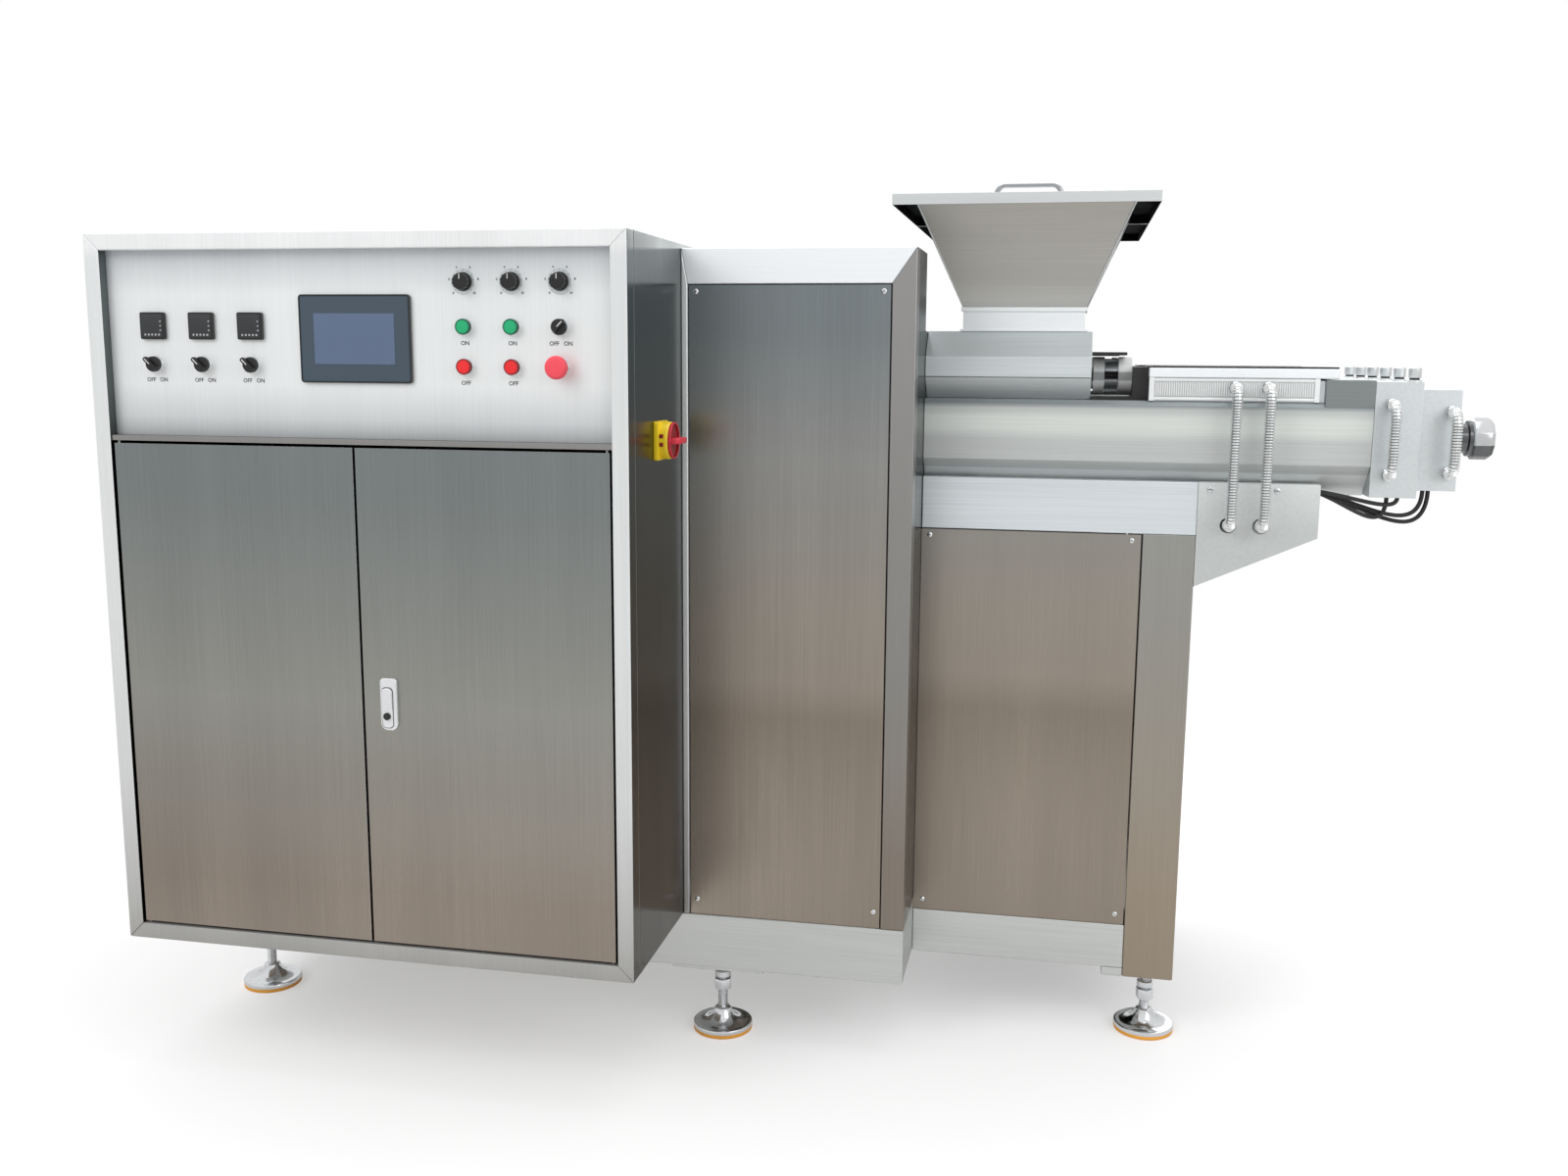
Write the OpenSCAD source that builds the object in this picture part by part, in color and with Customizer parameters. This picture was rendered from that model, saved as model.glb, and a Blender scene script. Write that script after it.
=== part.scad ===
// Candy extruder with two barrels: control cabinet, drive tower, and barrels on a stand.
// x runs from the cabinet's left end to the nozzles, y from the cabinet's face to the back.

/* [Cabinet] */
// Width of the control cabinet
cab_w = 1014; // [900:1:1200]
// Height of the cabinet's top above the floor
cab_top = 1586; // [1560:1:1700]
// Face width of the cabinet's front frame
frame_w = 30; // [24:1:40]
// Depth of the cabinet's front frame
frame_d = 40; // [36:1:60]
// Thickness of the cover sheets
sheet = 3; // [2:0.5:4]
// How far the control panel sits behind the frame's face
panel_recess = 20; // [14:1:28]
// Height of the control panel's lower edge
panel_z = 1228; // [1200:1:1250]
// Height of the rail between the panel and the doors
rail_h = 10; // [8:1:20]

/* [Doors] */
// Depth of the folded doors
door_t = 20; // [16:1:24]
// Gap round each door
door_gap = 5; // [4:0.5:8]
// How far the doors sit behind the frame's face
door_recess = 4; // [2:1:8]
// Radius of a hinge pin
pin_r = 3; // [2:0.5:4]
// Radial play of a hinge pin
pin_play = 0.05; // [0.03:0.01:0.1]
// Distance from the door's corner to the hinge pin, in x and in y
pin_inset = 6; // [5:0.5:8]
// Length of a hinge pin inside the door
pin_reach = 14; // [10:1:20]
// Width of the lock's plate
lock_w = 32; // [26:1:40]
// Height of the lock's plate
lock_h = 96; // [80:1:120]
// Thickness of the lock's plate
lock_t = 7; // [5:1:12]
// Height of the lock's middle
lock_z = 753; // [600:1:900]
// Distance from the door's free edge to the lock's middle
lock_inset = 50; // [40:1:80]

/* [Controls] */
// Distance of the first column of heat controls from the cabinet's left end
heat_x = 120; // [100:1:140]
// Spacing of the heat controls
heat_pitch = 96; // [80:1:100]
// Distance of the last column of run controls from the cabinet's right side
run_x = 124; // [100:1:140]
// Spacing of the run controls
run_pitch = 87; // [70:1:90]
// Height of the temperature controllers and the start buttons above the panel's lower edge
row_high_z = 196; // [182:1:212]
// Height of the selectors and the stop buttons above the panel's lower edge
row_low_z = 128; // [112:1:142]
// Height of the speed knobs above the panel's lower edge
row_top_z = 272; // [262:1:282]
// Side of a temperature controller
controller_w = 48; // [40:1:60]
// How far a temperature controller stands out
controller_t = 8; // [5:1:14]
// Width of the touch screen
screen_w = 210; // [180:1:240]
// Height of the touch screen
screen_h = 153; // [130:1:170]
// How far the touch screen stands out
screen_t = 7; // [5:1:12]
// Distance of the touch screen's middle to the right of the cabinet's middle
screen_x = 6; // [-10:1:20]
// Height of the touch screen's lower edge above the panel's lower edge
screen_z = 98; // [82:1:112]
// Border of the touch screen's glass
screen_rim = 25; // [15:1:30]
// Radius of a control's bezel
bezel_r = 15; // [13:0.5:18]
// Thickness of a control's bezel
bezel_t = 6; // [4:0.5:8]
// Radius of a push button
button_r = 11; // [9:0.5:12]
// Radius of a selector's knob
selector_r = 12; // [10:0.5:14]
// Depth of a selector's knob
selector_t = 16; // [12:1:24]
// Radius of a speed knob
knob_r = 14; // [12:0.5:16]
// Radius of a speed knob's dial
dial_r = 22; // [18:0.5:26]
// Radius of the emergency stop's head
stop_r = 20; // [18:0.5:24]
// Stroke of the push buttons
stroke = 3; // [2:0.5:4]
// Play between a control and its bezel
control_play = 0.4; // [0.3:0.1:0.8]
// Side of the main switch's box
switch_w = 70; // [66:1:80]
// Depth of the main switch's box
switch_t = 25; // [18:1:30]
// Distance of the main switch from the cabinet's face
switch_y = 184; // [160:1:260]
// Height of the main switch
switch_z = 1226; // [1100:1:1300]
// Radius of the main switch's handle
handle_r = 33; // [26:1:36]

/* [Tower and drive] */
// Setback of the drive tower's face from the cabinet's face
tower_y = 340; // [300:1:380]
// Width of the drive tower
tower_w = 447; // [400:1:520]
// Height of the tower's top above the floor
tower_top = 1578; // [1500:1:1640]
// Height of the tower's top rail
tower_rail_h = 66; // [50:1:90]
// Width of the tower's right stile
tower_stile_w = 46; // [36:1:60]
// Width of the tower's left stile
tower_stile_left = 12; // [8:1:30]
// Depth of the tower's front frame
tower_frame_d = 50; // [40:1:80]
// Gap round the bolted front covers
cover_gap = 2; // [1:0.5:4]
// Underside of the base frame above the floor
base_z = 150; // [120:1:180]
// Height of the base frame's bars
base_h = 112; // [90:1:130]
// Width of the base frame's bars
base_w = 100; // [80:1:120]

/* [Stand] */
// Setback of the stand's face from the cabinet's face
stand_y = 518; // [480:1:560]
// Length of the stand past the tower
stand_l = 531; // [480:1:620]
// Width of the stand's post
post_w = 100; // [80:1:120]
// Underside of the stand's posts above the floor
stand_z = 130; // [110:1:150]
// How far the stand's posts stand below its lower rail
stand_step = 18; // [10:1:30]
// Length of the deeper end of the stand's lower rail
stand_step_l = 142; // [120:1:180]
// Height of the stand's lower rail
stand_rail_h = 92; // [80:1:110]
// Height of the stand's side beam
beam_h = 103; // [80:1:130]
// Thickness of the stand's side beam
beam_t = 30; // [20:1:34]
// How far the side beam stands above the barrels' underside
beam_lap = 23; // [10:1:30]
// Length of the cantilever bracket
bracket_l = 223; // [180:1:260]
// Height of the bracket's outer end
bracket_end_h = 102; // [80:1:130]
// Height of the bracket at the stand
bracket_root_h = 203; // [150:1:240]
// Radius of a conduit's hole in the bracket
conduit_hole_r = 15; // [12:0.5:18]

/* [Barrels] */
// Distance between the two barrels' axes
barrel_pitch = 450; // [400:1:500]
// Width of a barrel
barrel_w = 220; // [180:1:240]
// Underside of the barrels above the floor
barrel_z = 1122; // [1080:1:1150]
// Height of a barrel
barrel_h = 177; // [160:1:200]
// Lower chamfer of a barrel
barrel_cut = 60; // [40:1:70]
// Upper chamfer of a barrel
barrel_edge = 9; // [4:1:16]
// Length of a barrel
barrel_l = 840; // [760:1:920]
// Length of a feed housing
feed_l = 321; // [300:1:340]
// Height of a feed housing
feed_h = 131; // [110:1:150]
// Upper chamfer of a feed housing
feed_cut_top = 50; // [30:1:60]
// Lower chamfer of a feed housing
feed_cut_low = 42; // [20:1:50]
// Length of a coupling
coupling_l = 79; // [70:1:90]
// Radius of a coupling
coupling_r = 36; // [26:1:38]
// Radius of a coupling's shaft
shaft_r = 14; // [10:1:18]
// Height of a coupling's axis above the barrel
shaft_h = 47; // [44:1:52]
// Length of a bearing block
bearing_l = 30; // [20:1:40]
// Height of a bearing block
bearing_h = 64; // [58:1:72]
// Width of a bearing block
bearing_w = 150; // [120:1:170]
// Thickness of the black plates round a coupling
guard_t = 6; // [4:1:8]
// Height of a coupling's guard plate above the barrel
guard_z = 86; // [84:1:92]
// Length of a transfer case
case_l = 312; // [280:1:330]
// Height of a transfer case
case_h = 45; // [36:1:60]
// How far a transfer case sits behind the barrel's face
case_inset = 8; // [4:1:16]
// Thickness of a transfer case's cover
case_cover_t = 18; // [12:1:24]
// How far a transfer case's cover runs past the case
case_cover_lap = 34; // [10:1:40]
// Gap between a transfer case and the end block that fills the rest of the barrel's top
case_gap = 10; // [5:1:20]
// Height of an end block
end_block_h = 43; // [30:1:44]

/* [Dies] */
// Length of the die manifold
manifold_l = 84; // [60:1:110]
// Height of the die manifold
manifold_h = 216; // [190:1:230]
// Length of a die head
head_l = 70; // [50:1:90]
// Height of a die head
head_h = 188; // [150:1:200]
// Width of a die head
head_w = 200; // [160:1:210]
// Radius of a nozzle's ring
nozzle_r = 40; // [34:1:50]
// Radius of a nozzle's neck
nozzle_neck_r = 30; // [24:1:34]
// Length of a nozzle's neck
nozzle_neck_l = 42; // [30:1:60]
// Length of a nozzle's ring
nozzle_l = 38; // [30:1:50]
// Radius of a nozzle's outlet
outlet_r = 16; // [10:0.5:20]

/* [Hoppers] */
// Length of a hopper's mouth, along the barrel
mouth_l = 412; // [360:1:440]
// Width of a hopper's mouth, across the barrel
mouth_w = 370; // [320:1:390]
// Length of a hopper's neck, along the barrel
neck_l = 237; // [200:1:260]
// Width of a hopper's neck, across the barrel
neck_w = 118; // [90:1:120]
// Height of a hopper's neck
neck_h = 44; // [30:1:60]
// Height of a hopper's sloped walls
cone_h = 202; // [160:1:240]
// Distance of a hopper's middle from the feed housing's near end
hopper_x = 187; // [170:1:200]
// Thickness of a hopper's walls
hopper_wall = 3; // [2:0.5:5]
// Length of a lid, along the barrel
lid_l = 489; // [460:1:520]
// Gap between the two lids
lid_gap = 10; // [8:1:20]
// Depth of a lid's folded edge
lid_edge = 20; // [14:1:30]
// Span of a lid's handle
grip_l = 126; // [100:1:160]
// Height of a lid's handle
grip_h = 42; // [36:1:60]
// Radius of a lid's handle bar
grip_r = 5; // [4:0.5:7]
// Radius of the bends in a lid's handle
grip_bend = 18; // [12:1:24]

/* [Feet] */
// Radius of a foot's pad
pad_r = 55; // [45:1:65]
// Thickness of a foot's rubber
rubber_t = 8; // [6:1:14]
// Height of a foot's pad above its rubber
pad_h = 22; // [16:1:30]
// Radius of a foot's spindle
spindle_r = 10; // [8:1:14]
// Distance of the end feet's pads from the cabinet's left end
foot_inset = 3; // [0:1:30]
// Distance of the middle feet from the cabinet's right side
foot_setoff = 70; // [60:1:120]

/* [Conduits] */
// Radius of a conduit
conduit_r = 9; // [7:0.5:11]
// Radius of a conduit's fitting
fitting_r = 13; // [12:0.5:15]
// Length of a conduit's fitting
fitting_l = 14; // [10:1:18]
// How far a conduit stands out from the wall
conduit_reach = 44; // [38:1:60]
// Radius of a conduit's bends
conduit_bend = 24; // [20:1:30]
// Radius of a heater lead
lead_r = 4; // [3:0.5:5]

/* [Hidden] */
$fn = 48;
// Overlap of joined shapes and of cuts
eps = 1;

// Lengthwise stations
tower_x = cab_w;
stand_x = tower_x + tower_w;
post_x = stand_x + stand_l - post_w;
stand_end = stand_x + stand_l;
feed_end = stand_x + feed_l;
bearing_x = feed_end + coupling_l;
case_x = bearing_x + bearing_l;
barrel_end = stand_x + barrel_l;
end_block_x = case_x + case_l + case_gap;
head_x = barrel_end + manifold_l;
neck_x = head_x + head_l;
ring_x = neck_x + nozzle_neck_l;
tip_x = ring_x + nozzle_l;
hopper_mid = stand_x + hopper_x;
screen_left = cab_w / 2 + screen_x - screen_w / 2;

// Crosswise stations
front_axis = stand_y + barrel_w / 2;
rear_axis = front_axis + barrel_pitch;
mid_y = (front_axis + rear_axis) / 2;
back_y = rear_axis + barrel_w / 2;
lid_w = barrel_pitch - lid_gap;
lid_back = rear_axis + lid_w / 2;
panel_y = panel_recess;
stop_out = 34;
stop_head_t = 14;
face_y = panel_y - stop_out;

// Heights
cab_z = base_z + base_h;
top_row = panel_z + row_top_z;
high_row = panel_z + row_high_z;
low_row = panel_z + row_low_z;
screen_low = panel_z + screen_z;
barrel_top = barrel_z + barrel_h;
feed_top = barrel_top + feed_h;
neck_top = feed_top + neck_h;
mouth_z = neck_top + cone_h;
lid_top = mouth_z + sheet;
axis_z = (barrel_z + barrel_top + end_block_h) / 2;
beam_top = barrel_z + beam_lap;
beam_z = beam_top - beam_h;
stand_rail_z = stand_z + stand_step;
stand_rail_top = stand_rail_z + stand_rail_h;

// Doors
door_z0 = cab_z + frame_w + door_gap;
door_z1 = panel_z - rail_h - door_gap;
door_x0 = frame_w + door_gap;
door_x1 = cab_w - frame_w - door_gap;
door_mid = cab_w / 2;
pin_y = door_recess + pin_inset;

// Each heater lead: distance of its end past the end of the barrels or of the manifold, sag,
// distance behind the stand's face, and whether it ends under a die head
lead_rows = [[54, 16, 14, false], [37, 40, 24, false], [18, 46, 34, true], [30, 58, 44, true]];
lead_tail = 20;
lead_steps = 16;
lead_sides = 8;

// Brings the floor centre of the whole machine to the origin
module placed() {
  translate([-tip_x / 2, -(face_y + lid_back) / 2, 0]) children();
}

// A box between two corners
module slab(x0, x1, y0, y1, z0, z1) {
  translate([x0, y0, z0]) cube([x1 - x0, y1 - y0, z1 - z0]);
}

// A disc along y between two depths
module disc_y(x, z, y0, y1, r) {
  translate([x, y0, z]) rotate([-90, 0, 0]) cylinder(r = r, h = y1 - y0);
}

// A disc along x between two stations
module disc_x(y, z, x0, x1, r) {
  translate([x0, y, z]) rotate([0, 90, 0]) cylinder(r = r, h = x1 - x0);
}

// An outline in y and z drawn out along x
module along_x(x0, x1, outline) {
  translate([x0, 0, 0]) rotate([90, 0, 90]) linear_extrude(x1 - x0) polygon(outline);
}

// The same piece on both barrels
module both_axes() {
  for (y = [front_axis, rear_axis]) translate([0, y, 0]) children();
}

// The same piece on the front side and mirrored on the rear side
module both_sides() {
  children();
  translate([0, 2 * mid_y, 0]) mirror([0, 1, 0]) children();
}

module base_frame() {
  color("silver") placed() {
    for (y = [tower_y, back_y - base_w]) slab(0, stand_x, y, y + base_w, base_z, cab_z);
    for (x = [0, cab_w - base_w, stand_x - base_w])
      slab(x, x + base_w, tower_y + base_w - eps, back_y - base_w + eps, base_z, cab_z);
  }
}

// Feet under the base frame's ends, the tower and the stand's posts, front row then rear row
foot_spots = [
  for (y = [tower_y + base_w / 2, back_y - base_w / 2], x = [pad_r + foot_inset, tower_x + foot_setoff])
    [x, y, base_z],
  for (y = [stand_y + post_w / 2, back_y - post_w / 2]) [post_x + post_w / 2, y, stand_z]
];

module foot(spot) {
  translate([spot[0], spot[1], 0]) {
    rotate_extrude() polygon([
      [0, rubber_t], [pad_r, rubber_t], [pad_r, rubber_t + 0.35 * pad_h],
      [0.42 * pad_r, rubber_t + 0.7 * pad_h], [1.8 * spindle_r, rubber_t + pad_h], [0, rubber_t + pad_h]
    ]);
    translate([0, 0, rubber_t + pad_h - eps]) cylinder(r = spindle_r, h = spot[2] - rubber_t - pad_h + eps);
    translate([0, 0, spot[2] - 1.4 * spindle_r]) cylinder(r = 1.8 * spindle_r, h = 1.4 * spindle_r, $fn = 6);
  }
}

module levelling_feet() {
  color("gainsboro") placed() for (spot = foot_spots) foot(spot);
}

module foot_rubbers() {
  color("orange") placed() for (spot = foot_spots)
    translate([spot[0], spot[1], 0]) cylinder(r = 0.96 * pad_r, h = rubber_t);
}

// Hinge pins: each door's outer edge, at its top and at its bottom
pin_spots = [door_x0 + pin_inset, door_x1 - pin_inset];

module cabinet_front_frame() {
  color("silver") placed() {
    for (x = [0, cab_w - frame_w]) slab(x, x + frame_w, 0, frame_d, cab_z, cab_top);
    slab(frame_w - eps, cab_w - frame_w + eps, 0, frame_d, cab_top - frame_w, cab_top);
    slab(frame_w - eps, cab_w - frame_w + eps, 0, frame_d, cab_z, cab_z + frame_w);
    slab(frame_w - eps, cab_w - frame_w + eps, door_recess, frame_d, panel_z - rail_h, panel_z);
    for (x = pin_spots) {
      translate([x, pin_y, cab_z + frame_w - eps]) cylinder(r = pin_r, h = door_gap + pin_reach + eps);
      translate([x, pin_y, door_z1 - pin_reach]) cylinder(r = pin_r, h = door_gap + pin_reach + eps);
    }
  }
}

module cabinet_shell() {
  color("gray") placed() difference() {
    slab(0, cab_w, frame_d, back_y, cab_z, cab_top);
    slab(sheet, cab_w - sheet, frame_d - eps, back_y - sheet, cab_z + sheet, cab_top - sheet);
  }
}

module control_panel() {
  color("gainsboro") placed()
    slab(frame_w, cab_w - frame_w, panel_y, panel_y + sheet, panel_z, cab_top - frame_w);
}

module touch_screen() {
  color("dimgray") placed() difference() {
    slab(screen_left, screen_left + screen_w, panel_y - screen_t, panel_y, screen_low, screen_low + screen_h);
    slab(screen_left + screen_rim, screen_left + screen_w - screen_rim, panel_y - screen_t - eps,
      panel_y - screen_t + sheet / 2, screen_low + screen_rim, screen_low + screen_h - screen_rim);
  }
}

module temperature_controllers() {
  color("black") placed() for (i = [0 : 2]) {
    x = heat_x + i * heat_pitch;
    difference() {
      slab(x - controller_w / 2, x + controller_w / 2, panel_y - controller_t, panel_y,
        high_row - controller_w / 2, high_row + controller_w / 2);
      slab(x - 0.4 * controller_w, x + 0.4 * controller_w, panel_y - controller_t - eps,
        panel_y - controller_t + sheet / 2, high_row - 0.4 * controller_w, high_row + 0.4 * controller_w);
    }
  }
}

// Columns and rows of the round controls
function heat_col(i) = heat_x + i * heat_pitch;
function run_col(i) = cab_w - run_x - (2 - i) * run_pitch;
stem_r = 0.4 * stop_r;
selector_turn = 45;

module bezel(x, z, r, hole) {
  difference() {
    disc_y(x, z, panel_y - bezel_t, panel_y, r);
    if (hole > 0) disc_y(x, z, panel_y - bezel_t - eps, panel_y - control_play, hole);
  }
}

module control_bezels() {
  color("silver") placed() {
    for (i = [0 : 2]) bezel(heat_col(i), low_row, bezel_r, 0);
    bezel(run_col(2), high_row, bezel_r, 0);
    for (i = [0 : 2]) disc_y(run_col(i), top_row, panel_y - bezel_t / 3, panel_y, dial_r);
    for (i = [0 : 1], z = [high_row, low_row])
      bezel(run_col(i), z, bezel_r, button_r + control_play);
    bezel(run_col(2), low_row, bezel_r, stem_r + control_play);
  }
}

// A folded door with hinge bosses in its outer corners
module door(x0, x1, pin_x) {
  boss = 2 * pin_inset;
  y1 = door_recess + door_t;
  difference() {
    union() {
      difference() {
        slab(x0, x1, door_recess, y1, door_z0, door_z1);
        slab(x0 + sheet, x1 - sheet, door_recess + sheet, y1 + eps, door_z0 + sheet, door_z1 - sheet);
      }
      for (z = [door_z0, door_z1 - pin_reach - sheet])
        slab(pin_x - boss / 2, pin_x + boss / 2, door_recess + sheet / 2, door_recess + boss,
          z, z + pin_reach + sheet);
    }
    for (z = [door_z0 - eps, door_z1 - pin_reach - eps])
      translate([pin_x, pin_y, z]) cylinder(r = pin_r + pin_play, h = pin_reach + 2 * eps);
  }
}

module left_door() {
  color("darkgray") placed() door(door_x0, door_mid - door_gap / 2, pin_spots[0]);
}

module right_door() {
  color("darkgray") placed() door(door_mid + door_gap / 2, door_x1, pin_spots[1]);
}

module door_lock() {
  x = door_mid + door_gap / 2 + lock_inset;
  grip_w = 0.5 * lock_w;
  color("gainsboro") placed() {
    slab(x - lock_w / 2, x + lock_w / 2, door_recess - lock_t, door_recess,
      lock_z - lock_h / 2, lock_z + lock_h / 2);
    slab(x - grip_w / 2, x + grip_w / 2, door_recess - 1.8 * lock_t, door_recess - lock_t + eps,
      lock_z - 0.15 * lock_h, lock_z + 0.42 * lock_h);
    disc_y(x, lock_z - 0.3 * lock_h, door_recess - 1.5 * lock_t, door_recess - lock_t + eps, 0.3 * lock_w);
  }
}

module main_switch_box() {
  color("gold") placed() difference() {
    slab(cab_w, cab_w + switch_t, switch_y - switch_w / 2, switch_y + switch_w / 2,
      switch_z - switch_w / 2, switch_z + switch_w / 2);
    disc_x(switch_y, switch_z, cab_w + switch_t / 2, cab_w + switch_t + eps, 0.4 * handle_r);
  }
}

module main_switch_handle() {
  x0 = cab_w + switch_t + control_play;
  grip_w = 0.36 * handle_r;
  color("red") placed() {
    disc_x(switch_y, switch_z, x0, x0 + 0.2 * switch_t, handle_r);
    disc_x(switch_y, switch_z, cab_w + switch_t / 2 + control_play, x0 + eps, 0.4 * handle_r - control_play);
    slab(x0, x0 + 0.9 * switch_t, switch_y - 0.9 * handle_r, switch_y + 0.9 * handle_r,
      switch_z - grip_w / 2, switch_z + grip_w / 2);
  }
}

// A selector's knob with its finger bar
module selector(x, z, turn) {
  y1 = panel_y - bezel_t - control_play;
  bar_w = 0.6 * selector_r;
  color("black") placed() {
    disc_y(x, z, y1 - selector_t / 2, y1, selector_r);
    translate([x, 0, z]) rotate([0, turn, 0])
      slab(-bar_w / 2, bar_w / 2, y1 - selector_t, y1 - selector_t / 2 + eps, -selector_r, 1.2 * selector_r);
  }
}

module heat_selector_1() selector(heat_col(0), low_row, -selector_turn);
module heat_selector_2() selector(heat_col(1), low_row, -selector_turn);
module heat_selector_3() selector(heat_col(2), low_row, -selector_turn);
module joint_selector() selector(run_col(2), high_row, selector_turn);

module speed_knob(x) {
  y1 = panel_y - bezel_t / 3 - control_play;
  color("black") placed() difference() {
    union() {
      disc_y(x, top_row, y1 - 0.25 * knob_r, y1, 1.15 * knob_r);
      disc_y(x, top_row, y1 - 1.2 * knob_r, y1, knob_r);
    }
    slab(x - 1, x + 1, y1 - 1.2 * knob_r - eps, y1 - 1.1 * knob_r, top_row, top_row + knob_r);
  }
}

module speed_knob_1() speed_knob(run_col(0));
module speed_knob_2() speed_knob(run_col(1));
module speed_knob_3() speed_knob(run_col(2));

module push_button(x, z, colour) {
  y0 = panel_y - bezel_t - 2 * stroke;
  color(colour) placed() disc_y(x, z, y0, panel_y - stroke - 2 * control_play, button_r);
}

module start_button_1() push_button(run_col(0), high_row, "seagreen");
module start_button_2() push_button(run_col(1), high_row, "seagreen");
module stop_button_1() push_button(run_col(0), low_row, "red");
module stop_button_2() push_button(run_col(1), low_row, "red");

module emergency_stop() {
  color("red") placed() {
    translate([run_col(2), face_y, low_row]) rotate([-90, 0, 0]) rotate_extrude() polygon([
      [0, 0], [0.7 * stop_r, 0], [stop_r, 0.4 * stop_head_t], [stop_r, 0.8 * stop_head_t],
      [0.8 * stop_r, stop_head_t], [0, stop_head_t]
    ]);
    disc_y(run_col(2), low_row, face_y + stop_head_t - eps, panel_y - stroke - 2 * control_play, stem_r);
  }
}

module tower_frame() {
  y1 = tower_y + tower_frame_d;
  color("silver") placed() {
    slab(tower_x, tower_x + tower_stile_left, tower_y, y1, cab_z, tower_top);
    slab(stand_x - tower_stile_w, stand_x, tower_y, y1, cab_z, tower_top);
    slab(tower_x, stand_x, tower_y, y1, tower_top - tower_rail_h, tower_top);
  }
}

module tower_panel() {
  y0 = tower_y + sheet;
  color("darkgray") placed() {
    slab(tower_x + tower_stile_left + cover_gap, stand_x - tower_stile_w - cover_gap, y0, y0 + sheet,
      cab_z, tower_top - tower_rail_h - cover_gap);
  }
}

// Folded cover behind the tower's front frame: top, right side and back
module tower_shell() {
  y0 = tower_y + tower_frame_d;
  color("gray") placed() difference() {
    slab(tower_x, stand_x, y0, stand_y, cab_z, tower_top);
    slab(tower_x - eps, stand_x - sheet, y0 - eps, stand_y - sheet, cab_z - eps, tower_top - sheet);
  }
}

module drive_housing() {
  color("gray") placed() slab(tower_x, stand_x, stand_y, back_y - sheet, cab_z, feed_top);
}

module drive_rear_cover() {
  color("darkgray") placed()
    slab(tower_x + tower_stile_w, stand_x - tower_stile_w, back_y - sheet, back_y,
      cab_z + tower_stile_w, feed_top - tower_stile_w);
}

module stand_frame() {
  color("silver") placed() {
    for (y = [stand_y, back_y - post_w]) {
      slab(post_x, stand_end, y, y + post_w, stand_z, beam_z);
      slab(stand_x, stand_end, y, y + post_w, stand_rail_z, stand_rail_top);
      slab(stand_end - stand_step_l, stand_end, y, y + post_w, stand_z, stand_rail_z + eps);
    }
    for (y = [stand_y, back_y - beam_t]) slab(stand_x, stand_end, y, y + beam_t, beam_z, beam_top);
    for (x = [stand_x, post_x])
      slab(x, x + post_w, stand_y + beam_t - eps, back_y - beam_t + eps, beam_z, barrel_z);
    slab(post_x, stand_end, stand_y + post_w - eps, back_y - post_w + eps, stand_rail_z, stand_rail_top);
  }
}

module stand_panels() {
  z0 = stand_rail_top;
  z1 = beam_z - cover_gap;
  color("darkgray") placed() {
    both_sides() slab(stand_x, post_x - cover_gap, stand_y + sheet, stand_y + 2 * sheet, z0, z1);
    slab(stand_end - 2 * sheet, stand_end - sheet, stand_y + post_w, back_y - post_w, z0, z1 + cover_gap);
  }
}

// Cantilever trough under the barrels' free ends, with a lip folded in along each side's top
module bracket() {
  wall = 2 * sheet;
  x1 = stand_end + bracket_l;
  z_end = beam_top - bracket_end_h;
  z_root = beam_top - bracket_root_h;
  lip = max(sheet, barrel_cut - beam_lap - 2 * wall);
  color("silver") placed() {
    difference() {
      translate([0, back_y, 0]) rotate([90, 0, 0]) linear_extrude(back_y - stand_y) polygon([
        [stand_end, beam_top], [x1, beam_top], [x1, z_end], [stand_end, z_root]
      ]);
      translate([0, back_y - wall, 0]) rotate([90, 0, 0]) linear_extrude(back_y - stand_y - 2 * wall)
        polygon([
          [stand_end - eps, beam_top + eps], [x1 - wall, beam_top + eps],
          [x1 - wall, z_end + wall], [stand_end - eps, z_root + wall]
        ]);
      slab(x1 - wall - eps, x1 + eps, stand_y + wall, back_y - wall, barrel_z, beam_top + eps);
      both_sides() for (x = conduit_cols)
        disc_y(x, conduit_low_z, stand_y - eps, stand_y + wall + eps, conduit_hole_r);
    }
    both_sides() slab(stand_end, x1, stand_y + wall - eps, stand_y + wall + lip, beam_top - sheet, beam_top);
  }
}

// Section of a barrel about its own axis
function barrel_outline() = let (h = barrel_w / 2) [
  [-h + barrel_cut, barrel_z], [h - barrel_cut, barrel_z], [h, barrel_z + barrel_cut],
  [h, barrel_top - barrel_edge], [h - barrel_edge, barrel_top], [-h + barrel_edge, barrel_top],
  [-h, barrel_top - barrel_edge], [-h, barrel_z + barrel_cut]
];

module barrels() {
  color("silver") placed() both_axes() along_x(stand_x, barrel_end, barrel_outline());
}

// Section of a feed housing about its own axis
function feed_outline() = let (h = barrel_w / 2) [
  [-h + feed_cut_low, barrel_top], [h - feed_cut_low, barrel_top], [h, barrel_top + feed_cut_low],
  [h, feed_top - feed_cut_top], [h - feed_cut_top, feed_top], [-h + feed_cut_top, feed_top],
  [-h, feed_top - feed_cut_top], [-h, barrel_top + feed_cut_low]
];

module feed_housings() {
  throat = neck_l / 2 - 2 * hopper_wall;
  throat_w = neck_w / 2 - 2 * hopper_wall;
  color("silver") placed() both_axes() difference() {
    along_x(stand_x, feed_end, feed_outline());
    slab(hopper_mid - throat, hopper_mid + throat, -throat_w, throat_w,
      barrel_top + feed_h / 3, feed_top + eps);
  }
}

// A sloped hopper body between its neck and its mouth
module hopper_form(inset, over) {
  hull() {
    translate([0, 0, neck_top - over]) linear_extrude(0.01)
      square([neck_l - 2 * inset, neck_w - 2 * inset], center = true);
    translate([0, 0, mouth_z + over - 0.01]) linear_extrude(0.01)
      square([mouth_l - 2 * inset, mouth_w - 2 * inset], center = true);
  }
}

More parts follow.
